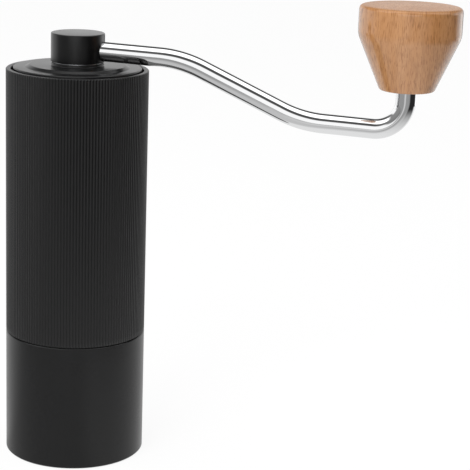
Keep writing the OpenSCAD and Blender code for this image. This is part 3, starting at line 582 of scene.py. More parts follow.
def make_mesh(
    name: str, points: np.ndarray, faces: list, finish: Finish, angle: float
) -> bpy.types.Object:
    """Puts points and faces into a new object.

    Args:
        name: the object's name.
        points: positions in millimetres.
        faces: lists of indices.
        finish: the finish it gets.
        angle: edges sharper than this, in degrees, stay sharp in the shading.

    Returns:
        The object, at the origin.
    """
    mesh = bpy.data.meshes.new(name)
    mesh.from_pydata((points * MM).tolist(), [], faces)
    mesh.validate()
    mesh.shade_smooth()
    mesh.set_sharp_from_angle(angle=math.radians(angle))
    mesh.materials.append(finish.build())
    thing = bpy.data.objects.new(name, mesh)
    bpy.context.scene.collection.objects.link(thing)
    return thing


def rounded(corners: Sequence[tuple], steps: int = 5, share: float = 0.49) -> np.ndarray:
    """Outline through corners with each corner rounded by its own radius.

    A corner is (x, y, radius). Its two tangent points lie radius * tan(half the turn) from it,
    and the arc between them is a circle about the meeting point of their normals.

    Args:
        corners: the closed outline, in order.
        steps: points along each arc, less one.
        share: the most of its shorter side that an arc may use up.

    Returns:
        The outline's points, one row each.
    """
    spots = np.array([c[:2] for c in corners], float)
    count = len(corners)
    pieces = []
    for k, corner in enumerate(corners):
        back = spots[(k - 1) % count] - spots[k]
        ahead = spots[(k + 1) % count] - spots[k]
        reach = min(np.linalg.norm(back), np.linalg.norm(ahead))
        radius = corner[2] if len(corner) > 2 else 0.0
        if radius <= 0.0 or reach < TINY:
            pieces.append(spots[k][None, :])
            continue
        back = back / np.linalg.norm(back)
        ahead = ahead / np.linalg.norm(ahead)
        half = math.acos(np.clip(back @ ahead, -1.0, 1.0)) / 2.0
        trim = min(radius / math.tan(half), share * reach)
        radius = trim * math.tan(half)
        middle = spots[k] + (back + ahead) / np.linalg.norm(back + ahead) * radius / math.sin(half)
        start = spots[k] + back * trim - middle
        end = spots[k] + ahead * trim - middle
        part = np.linspace(0.0, 1.0, steps + 1)[:, None]
        turn = math.pi - 2.0 * half
        arc = (np.sin((1.0 - part) * turn) * start + np.sin(part * turn) * end) / math.sin(turn)
        pieces.append(middle + arc)
    return np.concatenate(pieces)


def lathe(
    name: str,
    outline: np.ndarray,
    finish: Finish,
    columns: int = 192,
    centre: tuple = (0.0, 0.0),
    angle: float = 32.0,
    shape: Callable | None = None,
) -> bpy.types.Object:
    """Solid of revolution: point (r, z) goes to (r cos t, r sin t, z).

    An outline whose first and last points lie on the axis is closed there with poles; any other
    outline closes on itself and gives a ring.

    Args:
        name: the piece's name.
        outline: (r, z) rows, counter-clockwise seen with r to the right and z up.
        finish: its finish.
        columns: points round the axis.
        centre: where the axis stands.
        angle: limit of smooth shading, in degrees.
        shape: changes the radius; takes r, z and t arrays and returns r.

    Returns:
        The object.
    """
    poles = outline[0, 0] < TINY and outline[-1, 0] < TINY
    body = outline[1:-1] if poles else outline
    t = np.linspace(0.0, TURN, columns, endpoint=False)
    r, t_all = np.broadcast_arrays(body[:, 0:1], t[None, :])
    z = np.broadcast_to(body[:, 1:2], r.shape)
    if shape is not None:
        r = shape(r, z, t_all)
    across, along = centre[0] + r * np.cos(t_all), centre[1] + r * np.sin(t_all)
    points = np.stack([across, along, z], axis=-1).reshape(-1, 3)
    rows = len(body)
    faces = grid_faces(rows, columns, not poles)[:, ::-1].tolist()
    if poles:
        first, last = len(points), len(points) + 1
        ends = np.array([[*centre, outline[0, 1]], [*centre, outline[-1, 1]]])
        points = np.concatenate([points, ends])
        column = np.arange(columns)
        ahead = (column + 1) % columns
        top = (rows - 1) * columns
        faces += np.stack([np.full(columns, first), ahead, column], 1)[:, ::-1].tolist()
        faces += np.stack([np.full(columns, last), top + column, top + ahead], 1)[:, ::-1].tolist()
    return make_mesh(name, points, faces, finish, angle)


def outward(thing: bpy.types.Object) -> bpy.types.Object:
    """Turns a closed mesh the right way out: six times its volume is the sum of a . (b x c) over
    its triangles, and the faces are flipped if that is negative.

    Args:
        thing: an object with a closed mesh.

    Returns:
        The same object.
    """
    mesh = thing.data
    mesh.calc_loop_triangles()
    spots = np.empty(len(mesh.vertices) * 3)
    mesh.vertices.foreach_get("co", spots)
    spots = spots.reshape(-1, 3)
    corners = np.empty(len(mesh.loop_triangles) * 3, dtype=np.int64)
    mesh.loop_triangles.foreach_get("vertices", corners)
    a, b, c = (spots[corners.reshape(-1, 3)[:, k]] for k in range(3))
    if np.einsum("ij,ij->i", a, np.cross(b, c)).sum() < 0.0:
        mesh.flip_normals()
    return thing


def sweep(
    name: str,
    path: np.ndarray,
    across: np.ndarray,
    side: np.ndarray,
    radius: np.ndarray,
    finish: Finish,
    columns: int = 40,
    angle: float = 40.0,
) -> bpy.types.Object:
    """Round bar along a path: point is path + radius (cos t across + sin t side).

    Args:
        name: the piece's name.
        path: centre of each section, rows of x, y, z.
        across: unit vector across the bar at each section.
        side: the other unit vector across it.
        radius: radius of each section.
        finish: its finish.
        columns: points round each section.
        angle: limit of smooth shading, in degrees.

    Returns:
        The object, with flat ends.
    """
    t = np.linspace(0.0, TURN, columns, endpoint=False)
    cos_t, sin_t = np.cos(t)[None, :, None], np.sin(t)[None, :, None]
    ring = cos_t * across[:, None, :] + sin_t * side[:, None, :]
    points = (path[:, None, :] + radius[:, None, None] * ring).reshape(-1, 3)
    rows = len(path)
    faces = grid_faces(rows, columns, False).tolist()
    faces.append(list(range(columns))[::-1])
    faces.append(list(range((rows - 1) * columns, rows * columns)))
    return outward(make_mesh(name, points, faces, finish, angle))


def ridge(
    name: str,
    radius: float,
    height: float,
    low: float,
    high: float,
    pitch: float,
    width: float,
    finish: Finish,
    phase: float = 0.0,
    sink: float = 0.15,
    steps: int = 72,
    fade: float = 0.33,
    crest: float = 0.22,
) -> bpy.types.Object:
    """Thread ridge: a trapezoid carried along a helix, which fades out at both ends.

    Its section runs from sink below the surface to height above it; a negative height makes an
    inner thread. A point at turn u has the radius of its place in the section, the angle
    TURN * (u + phase), and z = low + pitch * u plus its place across the width.

    Args:
        name: the piece's name.
        radius: radius of the plain surface that carries it.
        height: how far the ridge stands out.
        low: z where the helix starts.
        high: z where it ends.
        pitch: rise in one turn.
        width: width of the ridge at its foot.
        finish: its finish.
        phase: angle at which it starts, in turns.
        sink: how far the foot is buried.
        steps: sections in a turn.
        fade: turns over which the ridge rises at each end.
        crest: half the crest's width, as a share of the foot's.

    Returns:
        The object.
    """
    turns = (high - low) / pitch
    u = np.linspace(0.0, turns, int(turns * steps) + 1)
    raised = np.clip(np.minimum(u, turns - u) / fade, 0.02, 1.0)
    away = math.copysign(1.0, height)
    foot = np.full_like(u, radius - away * sink)
    top = foot + (height + away * sink) * raised
    r = np.stack([foot, top, top, foot], axis=1)
    z = (low + pitch * u)[:, None] + width * np.array([-0.5, -crest, crest, 0.5])[None, :]
    t = TURN * (u + phase)[:, None]
    points = np.stack([r * np.cos(t), r * np.sin(t), z], axis=-1).reshape(-1, 3)
    faces = grid_faces(len(u), 4, False).tolist()
    last = (len(u) - 1) * 4
    faces.append([3, 2, 1, 0])
    faces.append([last, last + 1, last + 2, last + 3])
    return outward(make_mesh(name, points, faces, finish, 30.0))


def height_of(node: str) -> tuple[float, float]:
    """Lowest and highest z of a frame node, in millimetres."""
    low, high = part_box(node)
    return low.z / MM, high.z / MM


def radius_of(node: str) -> float:
    """Radius of a round, upright frame node, from how far it reaches along Y, in millimetres."""
    low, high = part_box(node)
    return max(high.y, -low.y) / MM


def settle(piece: bpy.types.Object, body: str, slot: str, *nodes: str) -> None:
    """Rides a piece on a body and lets it stand for frame nodes.

    Args:
        piece: the finished object.
        body: the frame body that carries it.
        slot: material slot of the record; not used.
        nodes: the frame nodes that it replaces.
    """
    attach(piece, body)
    if nodes:
        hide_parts(*nodes)
    LOG.info("%s: %d faces, rides on %s", piece.name, len(piece.data.polygons), body)


# ---------------------------------------------------------------- sub-assemblies


@dataclass
class Sleeve:
    """Ribbed outer sleeve. Lengths are in millimetres, here and in the classes below."""

    ribs: int = 144
    depth: float = 0.25
    wall: float = 1.8
    chamfer: float = 0.3
    lip: float = 0.25
    lip_r: float = 0.15
    edge_r: float = 0.12
    foot_relief: tuple = (0.15, 0.12)
    plain: float = 2.0
    rows: int = 10
    per_rib: int = 10

    def build(self) -> None:
        """Makes the sleeve: between ribs r is cut to outer - depth * (1 - |cos(n t / 2)|), and
        the cuts run out in the chamfer of the rim."""
        low, high = height_of("grip_sleeve")
        outer = radius_of("grip_sleeve")
        inner = outer - self.wall
        set_in, set_up = self.foot_relief
        levels = (low + set_up, *np.linspace(low + self.plain, high - self.plain, self.rows))
        side = [(outer, z) for z in levels]
        rim = rounded([
            (outer, high - 2.0 * self.chamfer, 0.0), (outer, high - self.chamfer, self.edge_r),
            (outer - self.chamfer, high, self.edge_r), (inner + self.lip, high, self.edge_r),
            (inner, high - self.lip, self.lip_r), (inner, high - self.plain, 0.0)], steps=4)
        outline = np.concatenate([
            [(inner, low), (outer - set_in, low)], side, rim, [(inner, (low + high) / 2.0)]])

        def flute(r: np.ndarray, z: np.ndarray, t: np.ndarray) -> np.ndarray:
            """Cuts the valleys into the outer wall, all along it."""
            valley = 1.0 - np.abs(np.cos(self.ribs * t / 2.0))
            return np.minimum(r, outer - self.depth * valley)

        columns = self.ribs * self.per_rib
        piece = lathe("sleeve_ribbed", outline, SLEEVE_BLACK, columns, angle=50.0, shape=flute)
        settle(outward(piece), "body", "black_anodised", "grip_sleeve")


@dataclass
class Cup:
    """Catch cup with its threaded bore, and the pad under it."""

    wall: float = 2.1
    floor: float = 3.0
    chamfer: float = 0.5
    chamfer_blends: tuple = (0.25, 0.4)
    fillet: float = 4.0
    rim: float = 0.3
    edge_r: float = 0.2
    bore: float = CUP_BORE
    bore_h: float = 9.7
    bore_step: float = 0.6
    step_r: float = 0.3
    lead_in: float = 0.35
    lead_r: float = 0.15
    pad_r: float = 21.5
    pad_gap: float = 0.15
    pad_edge: float = 0.4
    pad_soft: float = 0.15
    groove_count: int = 4
    groove_w: float = 0.946
    groove_h: float = 0.6

    def build(self) -> None:
        """Makes the cup's shell and the grooved pad, both turned."""
        low, high = height_of("catch_cup")
        outer = radius_of("catch_cup")
        pad_low, pad_high = height_of("base_pad")
        recess = self.pad_r + self.pad_gap
        inner = outer - self.wall
        step = high - self.bore_h
        low_blend, high_blend = self.chamfer_blends
        shell = rounded([
            (0.0, pad_high), (recess, pad_high, self.edge_r), (recess, low, self.edge_r),
            (outer - self.chamfer, low, low_blend), (outer, low + self.chamfer, high_blend),
            (outer, high - self.rim, self.edge_r), (outer - self.rim, high, self.edge_r),
            (self.bore + self.lead_in, high, self.lead_r),
            (self.bore, high - self.lead_in, self.lead_r),
            (self.bore, step, self.edge_r), (inner, step - self.bore_step, self.step_r),
            (inner, pad_high + self.floor, self.fillet), (0.0, pad_high + self.floor)], steps=6)
        cup = lathe("cup_shell", shell, CUP_BLACK, columns=256)
        settle(outward(cup), "cup", "black_anodised", "catch_cup")
        disc = rounded([
            (0.0, pad_low), *self.grooves(pad_low), (self.pad_r, pad_low, self.pad_edge),
            (self.pad_r, pad_high, self.pad_soft), (0.0, pad_high)], steps=4)
        pad = lathe("pad_grooved", disc, RUBBER, columns=160)
        settle(outward(pad), "pad", "black_rubber", "base_pad")

    def grooves(self, z: float) -> list[tuple]:
        """Corners of the round grooves in the pad's underside, evenly spaced in radius.

        Args:
            z: height of the underside.

        Returns:
            Outline corners, from the axis outward.
        """
        corners: list[tuple] = []
        for k in range(1, self.groove_count + 1):
            r = self.pad_r * k / (self.groove_count + 1)
            far, up, soft = r + self.groove_w, z + self.groove_h, self.pad_soft
            corners += [(r, z, soft), (r, up, soft), (far, up, soft), (far, z, soft)]
        return corners


@dataclass
class Lid:
    """Lid with its stepped top, collar, skirt and seal groove."""

    plateau_foot: float = 19.0
    plateau_top: float = 17.4
    plateau_h: float = 0.9
    plateau_blends: tuple = (1.1, 0.7)
    collar_r: float = 9.6
    collar_h: float = 0.8
    collar_edges: tuple = (0.25, 0.22)
    boss_r: float = 0.4
    edge_h: float = 3.0
    edge_r: float = 0.45
    seat_edges: tuple = (0.15, 0.2)
    skirt_wall: float = 2.0
    skirt_gap: float = 0.1
    skirt_edges: tuple = (0.3, 0.4)
    small_r: float = 0.1
    plate: float = 1.9
    inner_fillet: float = 0.8
    bush_gap: float = 0.02
    seal_gap: float = 0.05

    def build(self) -> None:
        """Makes the lid as one turned shell; the seal and the bush keep their frame nodes."""
        low, high = height_of("lid")
        outer = radius_of("lid")
        bush = radius_of("lid_bush") + self.bush_gap
        bush_low, _ = height_of("lid_bush")
        seal_low, seal_high = height_of("lid_seal")
        seal_r = radius_of("lid_seal")
        skirt = seal_r - self.skirt_gap
        inner = skirt - self.skirt_wall
        plateau = high - self.collar_h
        top = plateau - self.plateau_h
        seat = top - self.edge_h
        under = top - self.plate
        groove = seal_r - (seal_high - seal_low) - self.seal_gap
        groove_low, groove_high = seal_low - self.seal_gap, seal_high + self.seal_gap
        foot_blend, top_blend = self.plateau_blends
        collar_blend, collar_edge = self.collar_edges
        skirt_inner, skirt_outer = self.skirt_edges
        seat_inner, seat_outer = self.seat_edges
        small = self.small_r
        outline = rounded([
            (bush, bush_low), (self.collar_r, bush_low, self.boss_r),
            (self.collar_r, under, self.inner_fillet), (inner, under, self.inner_fillet),
            (inner, low, skirt_inner), (skirt, low, skirt_outer), (skirt, groove_low, small),
            (groove, groove_low, small), (groove, groove_high, small),
            (skirt, groove_high, small), (skirt, seat, seat_inner), (outer, seat, seat_outer),
            (outer, top, self.edge_r), (self.plateau_foot, top, foot_blend),
            (self.plateau_top, plateau, top_blend), (self.collar_r, plateau, collar_blend),
            (self.collar_r, high, collar_edge), (bush, high, small)], steps=7)
        piece = lathe("lid_shell", outline, LID_BLACK, columns=224)
        settle(outward(piece), "lid", "black_anodised", "lid")


@dataclass
class Crank:
    """Hub and chrome rod. A bend is given by its run along X and its fall from the one before."""

    hub_roof: float = 2.0
    hub_edge: float = 0.45
    hub_foot: float = 0.25
    core_gap: float = 0.02
    core_edge: float = 0.1
    rod_r: float = 3.6
    rod_rise: float = 4.37
    tail: float = 7.0
    bend1: tuple = (38.65, 1.37)
    bend2: tuple = (82.7, 19.7)
    length: float = CRANK_LENGTH
    fall3: float = 1.4
    soft_bend: float = 42.0
    knob_bend: float = 10.8
    neck: float = 0.35
    neck_lead: float = 0.05
    neck_step: float = 0.1
    neck_chamfer: float = 0.25
    ledge: float = 0.01
    spindle_r: float = 2.9
    tip: tuple = (0.5, 0.4)

    def build(self) -> None:
        """Makes the hub, turned, and the rod."""
        low, high = height_of("crank_hub")
        radius = radius_of("crank_hub")
        core = radius_of("crank_core") + self.core_gap
        roof = high - self.hub_roof
        outline = rounded([
            (0.0, roof), (core, roof), (core, low, self.core_edge),
            (radius, low, self.hub_foot), (radius, high, self.hub_edge), (0.0, high)], steps=7)
        hub = lathe("hub_cap", outline, HUB_BLACK, columns=160)
        settle(outward(hub), "crank", "black_anodised", "crank_hub")
        settle(self.rod(low), "crank", "chrome", "crank_rod")

    def rod(self, hub_low: float) -> bpy.types.Object:
        """Sweeps the rod along straight runs joined by arcs, then up the spindle.

        Args:
            hub_low: z of the hub's foot.

        Returns:
            The rod.
        """
        z0 = hub_low + self.rod_rise
        slope = self.bend1[1] / self.bend1[0]
        z1 = z0 - self.bend1[1]
        z2 = z1 - self.bend2[1]
        z3 = z2 - self.fall3
        shoulder = height_of("knob_washer")[0]
        top = height_of("crank_rod")[1]
        line = rounded([
            (-self.tail, z0 + self.tail * slope), (self.bend1[0], z1, self.soft_bend),
            (self.bend2[0], z2, self.soft_bend), (self.length, z3, self.knob_bend),
            (self.length, shoulder - self.neck - self.neck_lead)], steps=24, share=0.98)
        tip_h, tip_r = self.tip
        upright = np.array([
            (shoulder - self.neck, self.rod_r),
            (shoulder - self.neck_step, self.rod_r - self.neck_step),
            (shoulder, self.rod_r - self.neck_chamfer), (shoulder + self.ledge, self.spindle_r),
            (top - tip_h, self.spindle_r), (top, self.spindle_r - tip_r)])
        x = np.concatenate([line[:, 0], np.full(len(upright), self.length)])
        z = np.concatenate([line[:, 1], upright[:, 0]])
        radius = np.concatenate([np.full(len(line), self.rod_r), upright[:, 1]])
        level = np.zeros(len(x))
        path = np.stack([x, level, z], axis=1)
        along = np.gradient(path, axis=0)
        along /= np.linalg.norm(along, axis=1)[:, None]
        across = np.stack([-along[:, 2], level, along[:, 0]], axis=1)
        side = np.tile([0.0, 1.0, 0.0], (len(x), 1))
        return sweep("rod_chrome", path, across, side, radius, CHROME, columns=64)


@dataclass
class Knob:
    """Turned beech knob."""

    foot_r: float = 9.7
    foot_edge: float = 0.9
    cone_h: float = 17.4
    cone_r: float = 17.3
    top_edge: float = 1.6
    edge_turn: float = 82.0
    dome: float = 0.25
    bore: float = 5.02
    bore_over: float = 1.0
    bore_r: float = 0.2
    mouth_r: float = 0.25

    def build(self) -> None:
        """Makes the knob: a cone, a belly arc tangent to it, a rounded edge, and a crown whose
        height falls with the square of the radius."""
        low, high = height_of("knob")
        radius = radius_of("knob")
        corner_low, corner_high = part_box("knob")
        middle = (corner_low.x + corner_high.x) / 2.0 / MM
        bore_top = height_of("crank_rod")[1] + self.bore_over
        lean = math.atan((self.cone_r - self.foot_r) / (self.cone_h - self.foot_edge))
        belly = (radius - self.cone_r) / (1.0 - math.cos(lean))
        turn = np.linspace(-lean, 0.0, 12)
        arc = np.stack([
            radius - belly + belly * np.cos(turn),
            low + self.cone_h + belly * (math.sin(lean) + np.sin(turn))], axis=1)
        turn = np.linspace(0.0, math.radians(self.edge_turn), 10)
        edge = np.stack([
            radius - self.top_edge + self.top_edge * np.cos(turn),
            high - self.dome - self.top_edge + self.top_edge * np.sin(turn)], axis=1)
        share = np.linspace(1.0, 0.0, 9)[1:]
        reach, brim = edge[-1]
        crown = np.stack([reach * share, brim + (high - brim) * (1.0 - share**2)], axis=1)
        foot = rounded([
            (0.0, bore_top), (self.bore, bore_top, self.bore_r), (self.bore, low, self.mouth_r),
            (self.foot_r, low, self.foot_edge), (arc[0, 0], arc[0, 1])], steps=6)[:-1]
        outline = np.concatenate([foot, arc, edge, crown])
        piece = lathe("knob_beech", outline, BEECH, columns=160, centre=(middle, 0.0))
        settle(outward(piece), "knob", "beech", "knob")


@dataclass
class Spring:
    """Burr spring with closed ends, between the shaft and the inner burr."""

    wire_r: float = 0.5
    turns: float = 6.0
    closed: float = 0.9
    closed_pitch: float = 1.02
    per_turn: int = 48

    def build(self) -> None:
        """Makes the coil: at turn u the wire's centre is at angle TURN * u, and it rises by
        closed_pitch over each closed turn at the ends and evenly in between."""
        low, high = height_of("burr_spring")
        radius = radius_of("burr_spring") - self.wire_r
        first, last = low + self.wire_r, high - self.wire_r
        rise = self.closed_pitch * self.closed
        u = np.linspace(0.0, self.turns, int(self.turns * self.per_turn) + 1)
        stations = [0.0, self.closed, self.turns - self.closed, self.turns]
        z = np.interp(u, stations, [first, first + rise, last - rise, last])
        t = TURN * u
        path = np.stack([radius * np.cos(t), radius * np.sin(t), z], axis=1)
        along = np.gradient(path, axis=0)
        along /= np.linalg.norm(along, axis=1)[:, None]
        away = np.stack([np.cos(t), np.sin(t), np.zeros_like(t)], axis=1)
        wire = np.full(len(t), self.wire_r)
        across = np.cross(along, away)
        piece = sweep("spring_coil", path, across, away, wire, SPRING_STEEL, columns=16)
        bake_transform(piece)
        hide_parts("burr_spring")
        LOG.info("%s: %d faces, from drive to burr", piece.name, len(piece.data.polygons))


@dataclass
class Thread:
    """One right-handed thread ridge on a turned surface; an inner thread has height below 0."""

    name: str
    radius: float
    height: float
    low: float
    high: float
    pitch: float
    body: str
    slot: str
    finish: Finish
    phase: float = 0.0
    width_share: float = 0.52

    def build(self) -> None:
        """Makes the ridge and rides it on its body."""
        piece = ridge(self.name, self.radius, self.height, self.low, self.high, self.pitch,
                      self.pitch * self.width_share, self.finish, self.phase)
        settle(piece, self.body, self.slot)


@dataclass
class Threads:
    """The cup's thread and the adjuster's thread, each as a ridge and its mate half a pitch off."""

    cup_pitch: float = 2.0
    cup_ridge: float = 0.6
    spigot_r: float = 22.7
    spigot_foot: float = 8.4
    spigot_lead: float = 1.6
    cup_bore: float = CUP_BORE
    cup_phase: float = 0.25
    dial_pitch: float = 1.0
    stud_r: float = 2.6
    stud_ridge: float = 0.35
    stud_below: float = 3.0
    stud_above: float = 0.5
    dial_bore: float = 3.1
    dial_ridge: float = 0.4
    dial_inset: tuple = (0.5, 0.3)

    def build(self) -> None:
        """Makes the four ridges."""
        seam = height_of("catch_cup")[1]
        dial_low, dial_high = height_of("adjuster_dial")
        foot = seam - self.spigot_foot
        head = seam - self.spigot_lead
        mate_foot = foot - self.cup_phase * self.cup_pitch
        inset_low, inset_high = self.dial_inset
        for thread in (
            Thread("spigot_thread", self.spigot_r, self.cup_ridge, foot, head, self.cup_pitch,
                   "body", "black_plastic", BARREL_PLASTIC),
            Thread("cup_thread", self.cup_bore, -self.cup_ridge, mate_foot, head, self.cup_pitch,
                   "cup", "black_anodised", CUP_BLACK, self.cup_phase),
            Thread("stud_thread", self.stud_r, self.stud_ridge, dial_low - self.stud_below,
                   dial_high + self.stud_above, self.dial_pitch,
                   "drive", "bearing_steel", SHAFT_STEEL),
            Thread("dial_thread", self.dial_bore, -self.dial_ridge, dial_low + inset_low,
                   dial_high - inset_high, self.dial_pitch,
                   "dial", "black_anodised", DIAL_BLACK),
        ):
            thread.build()


class Dress(Enum):
    """Finish of each frame node that keeps its own shape."""

    inner_barrel = BARREL_PLASTIC
    lower_funnel_bridge = BRIDGE_PLASTIC
    upper_bridge = BRIDGE_PLASTIC
    ring_burr = BURR_STEEL
    inner_burr = BURR_STEEL
    adjuster_dial = DIAL_BLACK
    lid_bush = BUSH_PLASTIC
    lid_seal = SILICONE
    burr_spring = SPRING_STEEL
    click_springs = SPRING_STEEL
    lower_hub_clip = SPRING_STEEL
    upper_hub_clip = SPRING_STEEL
    lower_shaft_clip = SPRING_STEEL
    upper_shaft_clip = SPRING_STEEL
    core_clip = SPRING_STEEL
    spindle_clip = SPRING_STEEL
    rod_grub_screw = SPRING_STEEL
    knob_insert = BRASS
    lower_bearing_cage = BRASS
    upper_bearing_cage = BRASS


def dress_frame() -> None:
    """Gives every frame node its finish; what the list above leaves out is shaft steel."""
    named = {name: member.value for name, member in Dress.__members__.items()}
    for name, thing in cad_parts.items():
        finish = named.get(name, SHAFT_STEEL)
        thing.data.materials.clear()
        thing.data.materials.append(finish.build())
    LOG.info("dressed %d frame nodes", len(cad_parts))


# ---------------------------------------------------------------- studio


@dataclass(frozen=True)
class Stretch:
    """A stretch of bearings, slopes or places with soft borders."""

    low: float
    high: float
    soft: float

    def of(self, signal: Sig) -> Sig:
        """1 where the signal is inside the stretch and 0 outside."""
        return signal.within(self.low, self.high, self.soft)


@dataclass(frozen=True)
class Lamp:
    """Square area lamp that lights matt surfaces and stays out of reflections.

    Places are in metres and the power is in watts.
    """

    name: str
    spot: tuple
    aim: tuple
    size: float
    power: float

    def build(self) -> None:
        """Makes the lamp and turns it to its aim."""
        data = bpy.data.lights.new(self.name, "AREA")
        data.shape = "SQUARE"
        data.size = self.size
        data.energy = self.power
        thing = bpy.data.objects.new(self.name, data)
        thing.location = self.spot
        thing.rotation_mode = "QUATERNION"
        toward = Vector(self.aim) - Vector(self.spot)
        thing.rotation_quaternion = toward.to_track_quat("-Z", "Y")
        thing.visible_glossy = False
        bpy.context.scene.collection.objects.link(thing)


LAMPS = (
    Lamp("key_lamp", (-0.22, -0.85, 0.55), (0.06, 0.0, 0.12), 0.6, 7.3),
    Lamp("top_lamp", (0.05, -0.10, 0.9), (0.05, 0.0, 0.1), 0.7, 1.9),
)


@dataclass
class Eye:
    """The camera: millimetres from the axis and above the floor, and degrees.

    The crank is turned toward the camera by crank_turn, so the camera stands that far round.
    """

    distance: float = 592.81
    height: float = 236.79
    yaw: float = 5.742
    pitch: float = 14.407
    roll: float = 1.942
    crank_turn: float = 16.0
    focal: float = 124.9
    sensor: float = 36.0
    clip: tuple = (0.01, 100.0)

    def build(self) -> None:
        """Makes the camera. It looks along (sin yaw cos pitch, cos yaw cos pitch, -sin pitch),
        and roll turns its right and up vectors about that line."""
        swing = math.radians(self.crank_turn)
        yaw = math.radians(self.yaw - self.crank_turn)
        pitch = math.radians(self.pitch)
        roll = math.radians(self.roll)
        place = (self.distance * math.sin(swing), -self.distance * math.cos(swing), self.height)
        flat = math.cos(pitch)
        ahead = Vector((math.sin(yaw) * flat, math.cos(yaw) * flat, -math.sin(pitch)))
        level = Vector((math.cos(yaw), -math.sin(yaw), 0.0))
        over = level.cross(ahead)
        right = math.cos(roll) * level + math.sin(roll) * over
        up = math.cos(roll) * over - math.sin(roll) * level
        data = bpy.data.cameras.new("camera")
        data.lens = self.focal
        data.sensor_width = self.sensor
        data.clip_start, data.clip_end = self.clip
        thing = bpy.data.objects.new("camera", data)
        turned = Matrix((right, up, -ahead)).transposed().to_4x4()
        thing.matrix_world = Matrix.Translation(Vector(place) * MM) @ turned
        bpy.context.scene.collection.objects.link(thing)
        bpy.context.scene.camera = thing

    def bearings(self, wiring: Wiring, spot: Sig) -> tuple[Sig, Sig, Sig]:
        """Turns a direction or place by crank_turn, so that it is told from the studio's front.

        Args:
            wiring: the tree to build in.
            spot: a vector in the frame's axes.

        Returns:
            Its parts toward the front, to the right, and up.
        """
        across, depth, rise = wiring.parts(spot)
        swing = math.radians(self.crank_turn)
        front = across * math.sin(swing) - depth * math.cos(swing)
        side = across * math.cos(swing) + depth * math.sin(swing)
        return front, side, rise


@dataclass
class Floor:
    """Pale floor with the object's soft shadow, and its tone as polished surfaces mirror it.

    Bearings are in degrees from the studio's front, and reaches are in metres from the axis.
    """

    half: float = 6.0
    white: float = 0.9
    seen_glow: float = 0.9
    near_tone: float = 0.84
    near_shade: float = 0.25
    near_shaded: Stretch = Stretch(-100.0, 14.0, 14.0)
    far_reach: tuple = (0.12, 0.5)
    room_tone: float = 0.33
    strip_tone: float = 0.35
    strip: Stretch = Stretch(-20.0, -5.0, 7.0)
    dark_from: tuple = (30.0, 46.0)
    dark_share: float = 0.93
    behind_from: tuple = (84.0, 112.0)
    later_reach: tuple = (0.55, 0.68)
    later_bearing: tuple = (0.0, 20.0)
    later: float = 22.0
    edge_reach: tuple = (0.64, 0.70)
    edge: Stretch = Stretch(107.0, 140.0, 5.0)
    edge_tone: float = 0.7
    edge_end: tuple = (136.0, 150.0)
    edge_fall: float = 0.65

    def mirrored_tone(self, wiring: Wiring, eye: Eye) -> Sig:
        """Tone that polished surfaces mirror: one level near the foot of the object; further out
        a dim room with a bright strip in front, dark at the right, and white behind.

        Args:
            wiring: the floor's tree.
            eye: the camera, for the studio's front.

        Returns:
            The tone.
        """
        spot = wiring.node("ShaderNodeTexCoord").out("Object")
        front, side, _ = eye.bearings(wiring, spot)
        bearing = side.angle(front)
        reach = (front * front + side * side) ** 0.5
        far = reach.ramp(*self.far_reach)
        later = reach.ramp(*self.later_reach) * bearing.ramp(*self.later_bearing) * self.later
        behind = (bearing.size() - later).ramp(*self.behind_from)
        room = self.room_tone + self.strip.of(bearing) * self.strip_tone
        room = room * (1.0 - bearing.ramp(*self.dark_from) * self.dark_share)
        edge = self.edge.of(bearing) * self.edge_tone
        edge = edge - bearing.ramp(*self.edge_end) * self.edge_fall
        lit = room * (1.0 - behind) + behind + reach.ramp(*self.edge_reach) * edge
        near = self.near_tone - self.near_shaded.of(bearing) * self.near_shade
        return lit * far + (1.0 - far) * near

    def build(self, eye: Eye) -> None:
        """Makes the floor: mostly white to the camera, matt to lamps, toned to reflections.

        Args:
            eye: the camera, for the studio's front.
        """
        material = bpy.data.materials.new("floor_white")
        material.use_nodes = True
        wiring = Wiring(material.node_tree)
        path = wiring.node("ShaderNodeLightPath")
        seen = path.out("Is Camera Ray")
        mirrored = path.out("Is Glossy Ray")
        tone = self.mirrored_tone(wiring, eye)
        pale = rgba(self.white, self.white, self.white)
        full = rgba(1.0, 1.0, 1.0)
        matt = wiring.node("ShaderNodeBsdfDiffuse", None, {"Color": pale}).out()
        glow = wiring.node("ShaderNodeEmission", None, {"Color": full, "Strength": 1.0}).out()
        echo = wiring.node("ShaderNodeEmission", None, {"Color": tone, "Strength": 1.0}).out()
        shares = {0: seen * self.seen_glow, 1: matt, 2: glow}
        surface = wiring.node("ShaderNodeMixShader", None, shares).out()
        surface = wiring.node("ShaderNodeMixShader", None, {0: mirrored, 1: surface, 2: echo}).out()
        wiring.node("ShaderNodeOutputMaterial", None, {0: surface})
        half = self.half
        corners = [(-half, -half, 0.0), (half, -half, 0.0), (half, half, 0.0), (-half, half, 0.0)]
        mesh = bpy.data.meshes.new("floor")
        mesh.from_pydata(corners, [], [(0, 1, 2, 3)])
        mesh.materials.append(material)
        thing = bpy.data.objects.new("floor", mesh)
        bpy.context.scene.collection.objects.link(thing)


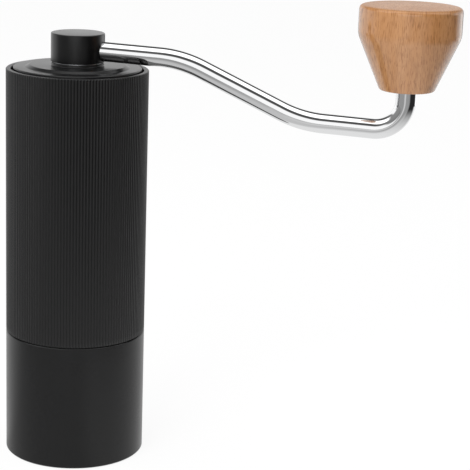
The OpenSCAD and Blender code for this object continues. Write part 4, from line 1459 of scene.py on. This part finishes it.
@dataclass
class Room:
    """Surroundings: white to the camera, and to other rays a dim room with a front panel, a long
    box overhead and a white backdrop. Slopes are in degrees up from the front."""

    wall: float = 0.08
    left_wall: float = 0.2
    left: tuple = (-0.2, -1.0)
    panel_slope: Stretch = Stretch(-10.0, 38.0, 4.0)
    panel_side: Stretch = Stretch(-0.62, 0.22, 0.08)
    panel: float = 1.1
    box_slope: Stretch = Stretch(66.0, 114.0, 4.0)
    box_side: Stretch = Stretch(-0.8, 0.8, 0.1)
    box: float = 1.7
    back_from: tuple = (0.05, -0.3)
    back_top: tuple = (0.36, 0.5)
    back: float = 1.1

    def build(self, eye: Eye) -> None:
        """Makes the world: every direction takes the brightest of the surfaces that it meets.

        Args:
            eye: the camera, for the studio's front.
        """
        world = bpy.data.worlds.new("studio")
        bpy.context.scene.world = world
        world.use_nodes = True
        wiring = Wiring(world.node_tree)
        way = wiring.node("ShaderNodeTexCoord").out("Generated")
        front, side, rise = eye.bearings(wiring, way)
        over = rise.angle(front)
        level = side.ramp(*self.left) * self.left_wall + self.wall
        panel = self.panel_slope.of(over) * self.panel_side.of(side) * self.panel
        box = self.box_slope.of(over) * self.box_side.of(side) * self.box
        backdrop = front.ramp(*self.back_from) * (1.0 - rise.ramp(*self.back_top)) * self.back
        level = level.greatest(panel).greatest(box).greatest(backdrop)
        seen = wiring.node("ShaderNodeLightPath").out("Is Camera Ray")
        level = level * (1.0 - seen) + seen
        sky = wiring.node("ShaderNodeBackground", None, {"Color": level, "Strength": 1.0}).out()
        wiring.node("ShaderNodeOutputWorld", None, {0: sky})


def build_studio() -> None:
    """Sets up the camera, the floor, the surroundings and the lamps."""
    bpy.context.scene.view_settings.view_transform = "Standard"
    eye = Eye()
    eye.build()
    Floor().build(eye)
    Room().build(eye)
    for lamp in LAMPS:
        lamp.build()


def main() -> None:
    """Builds the studio and the pieces."""
    logging.basicConfig(level=logging.INFO, format="%(name)s: %(message)s")
    build_studio()
    dress_frame()
    for part in (Sleeve(), Cup(), Lid(), Crank(), Knob(), Threads(), Spring()):
        part.build()


if __name__ == "__main__":
    main()
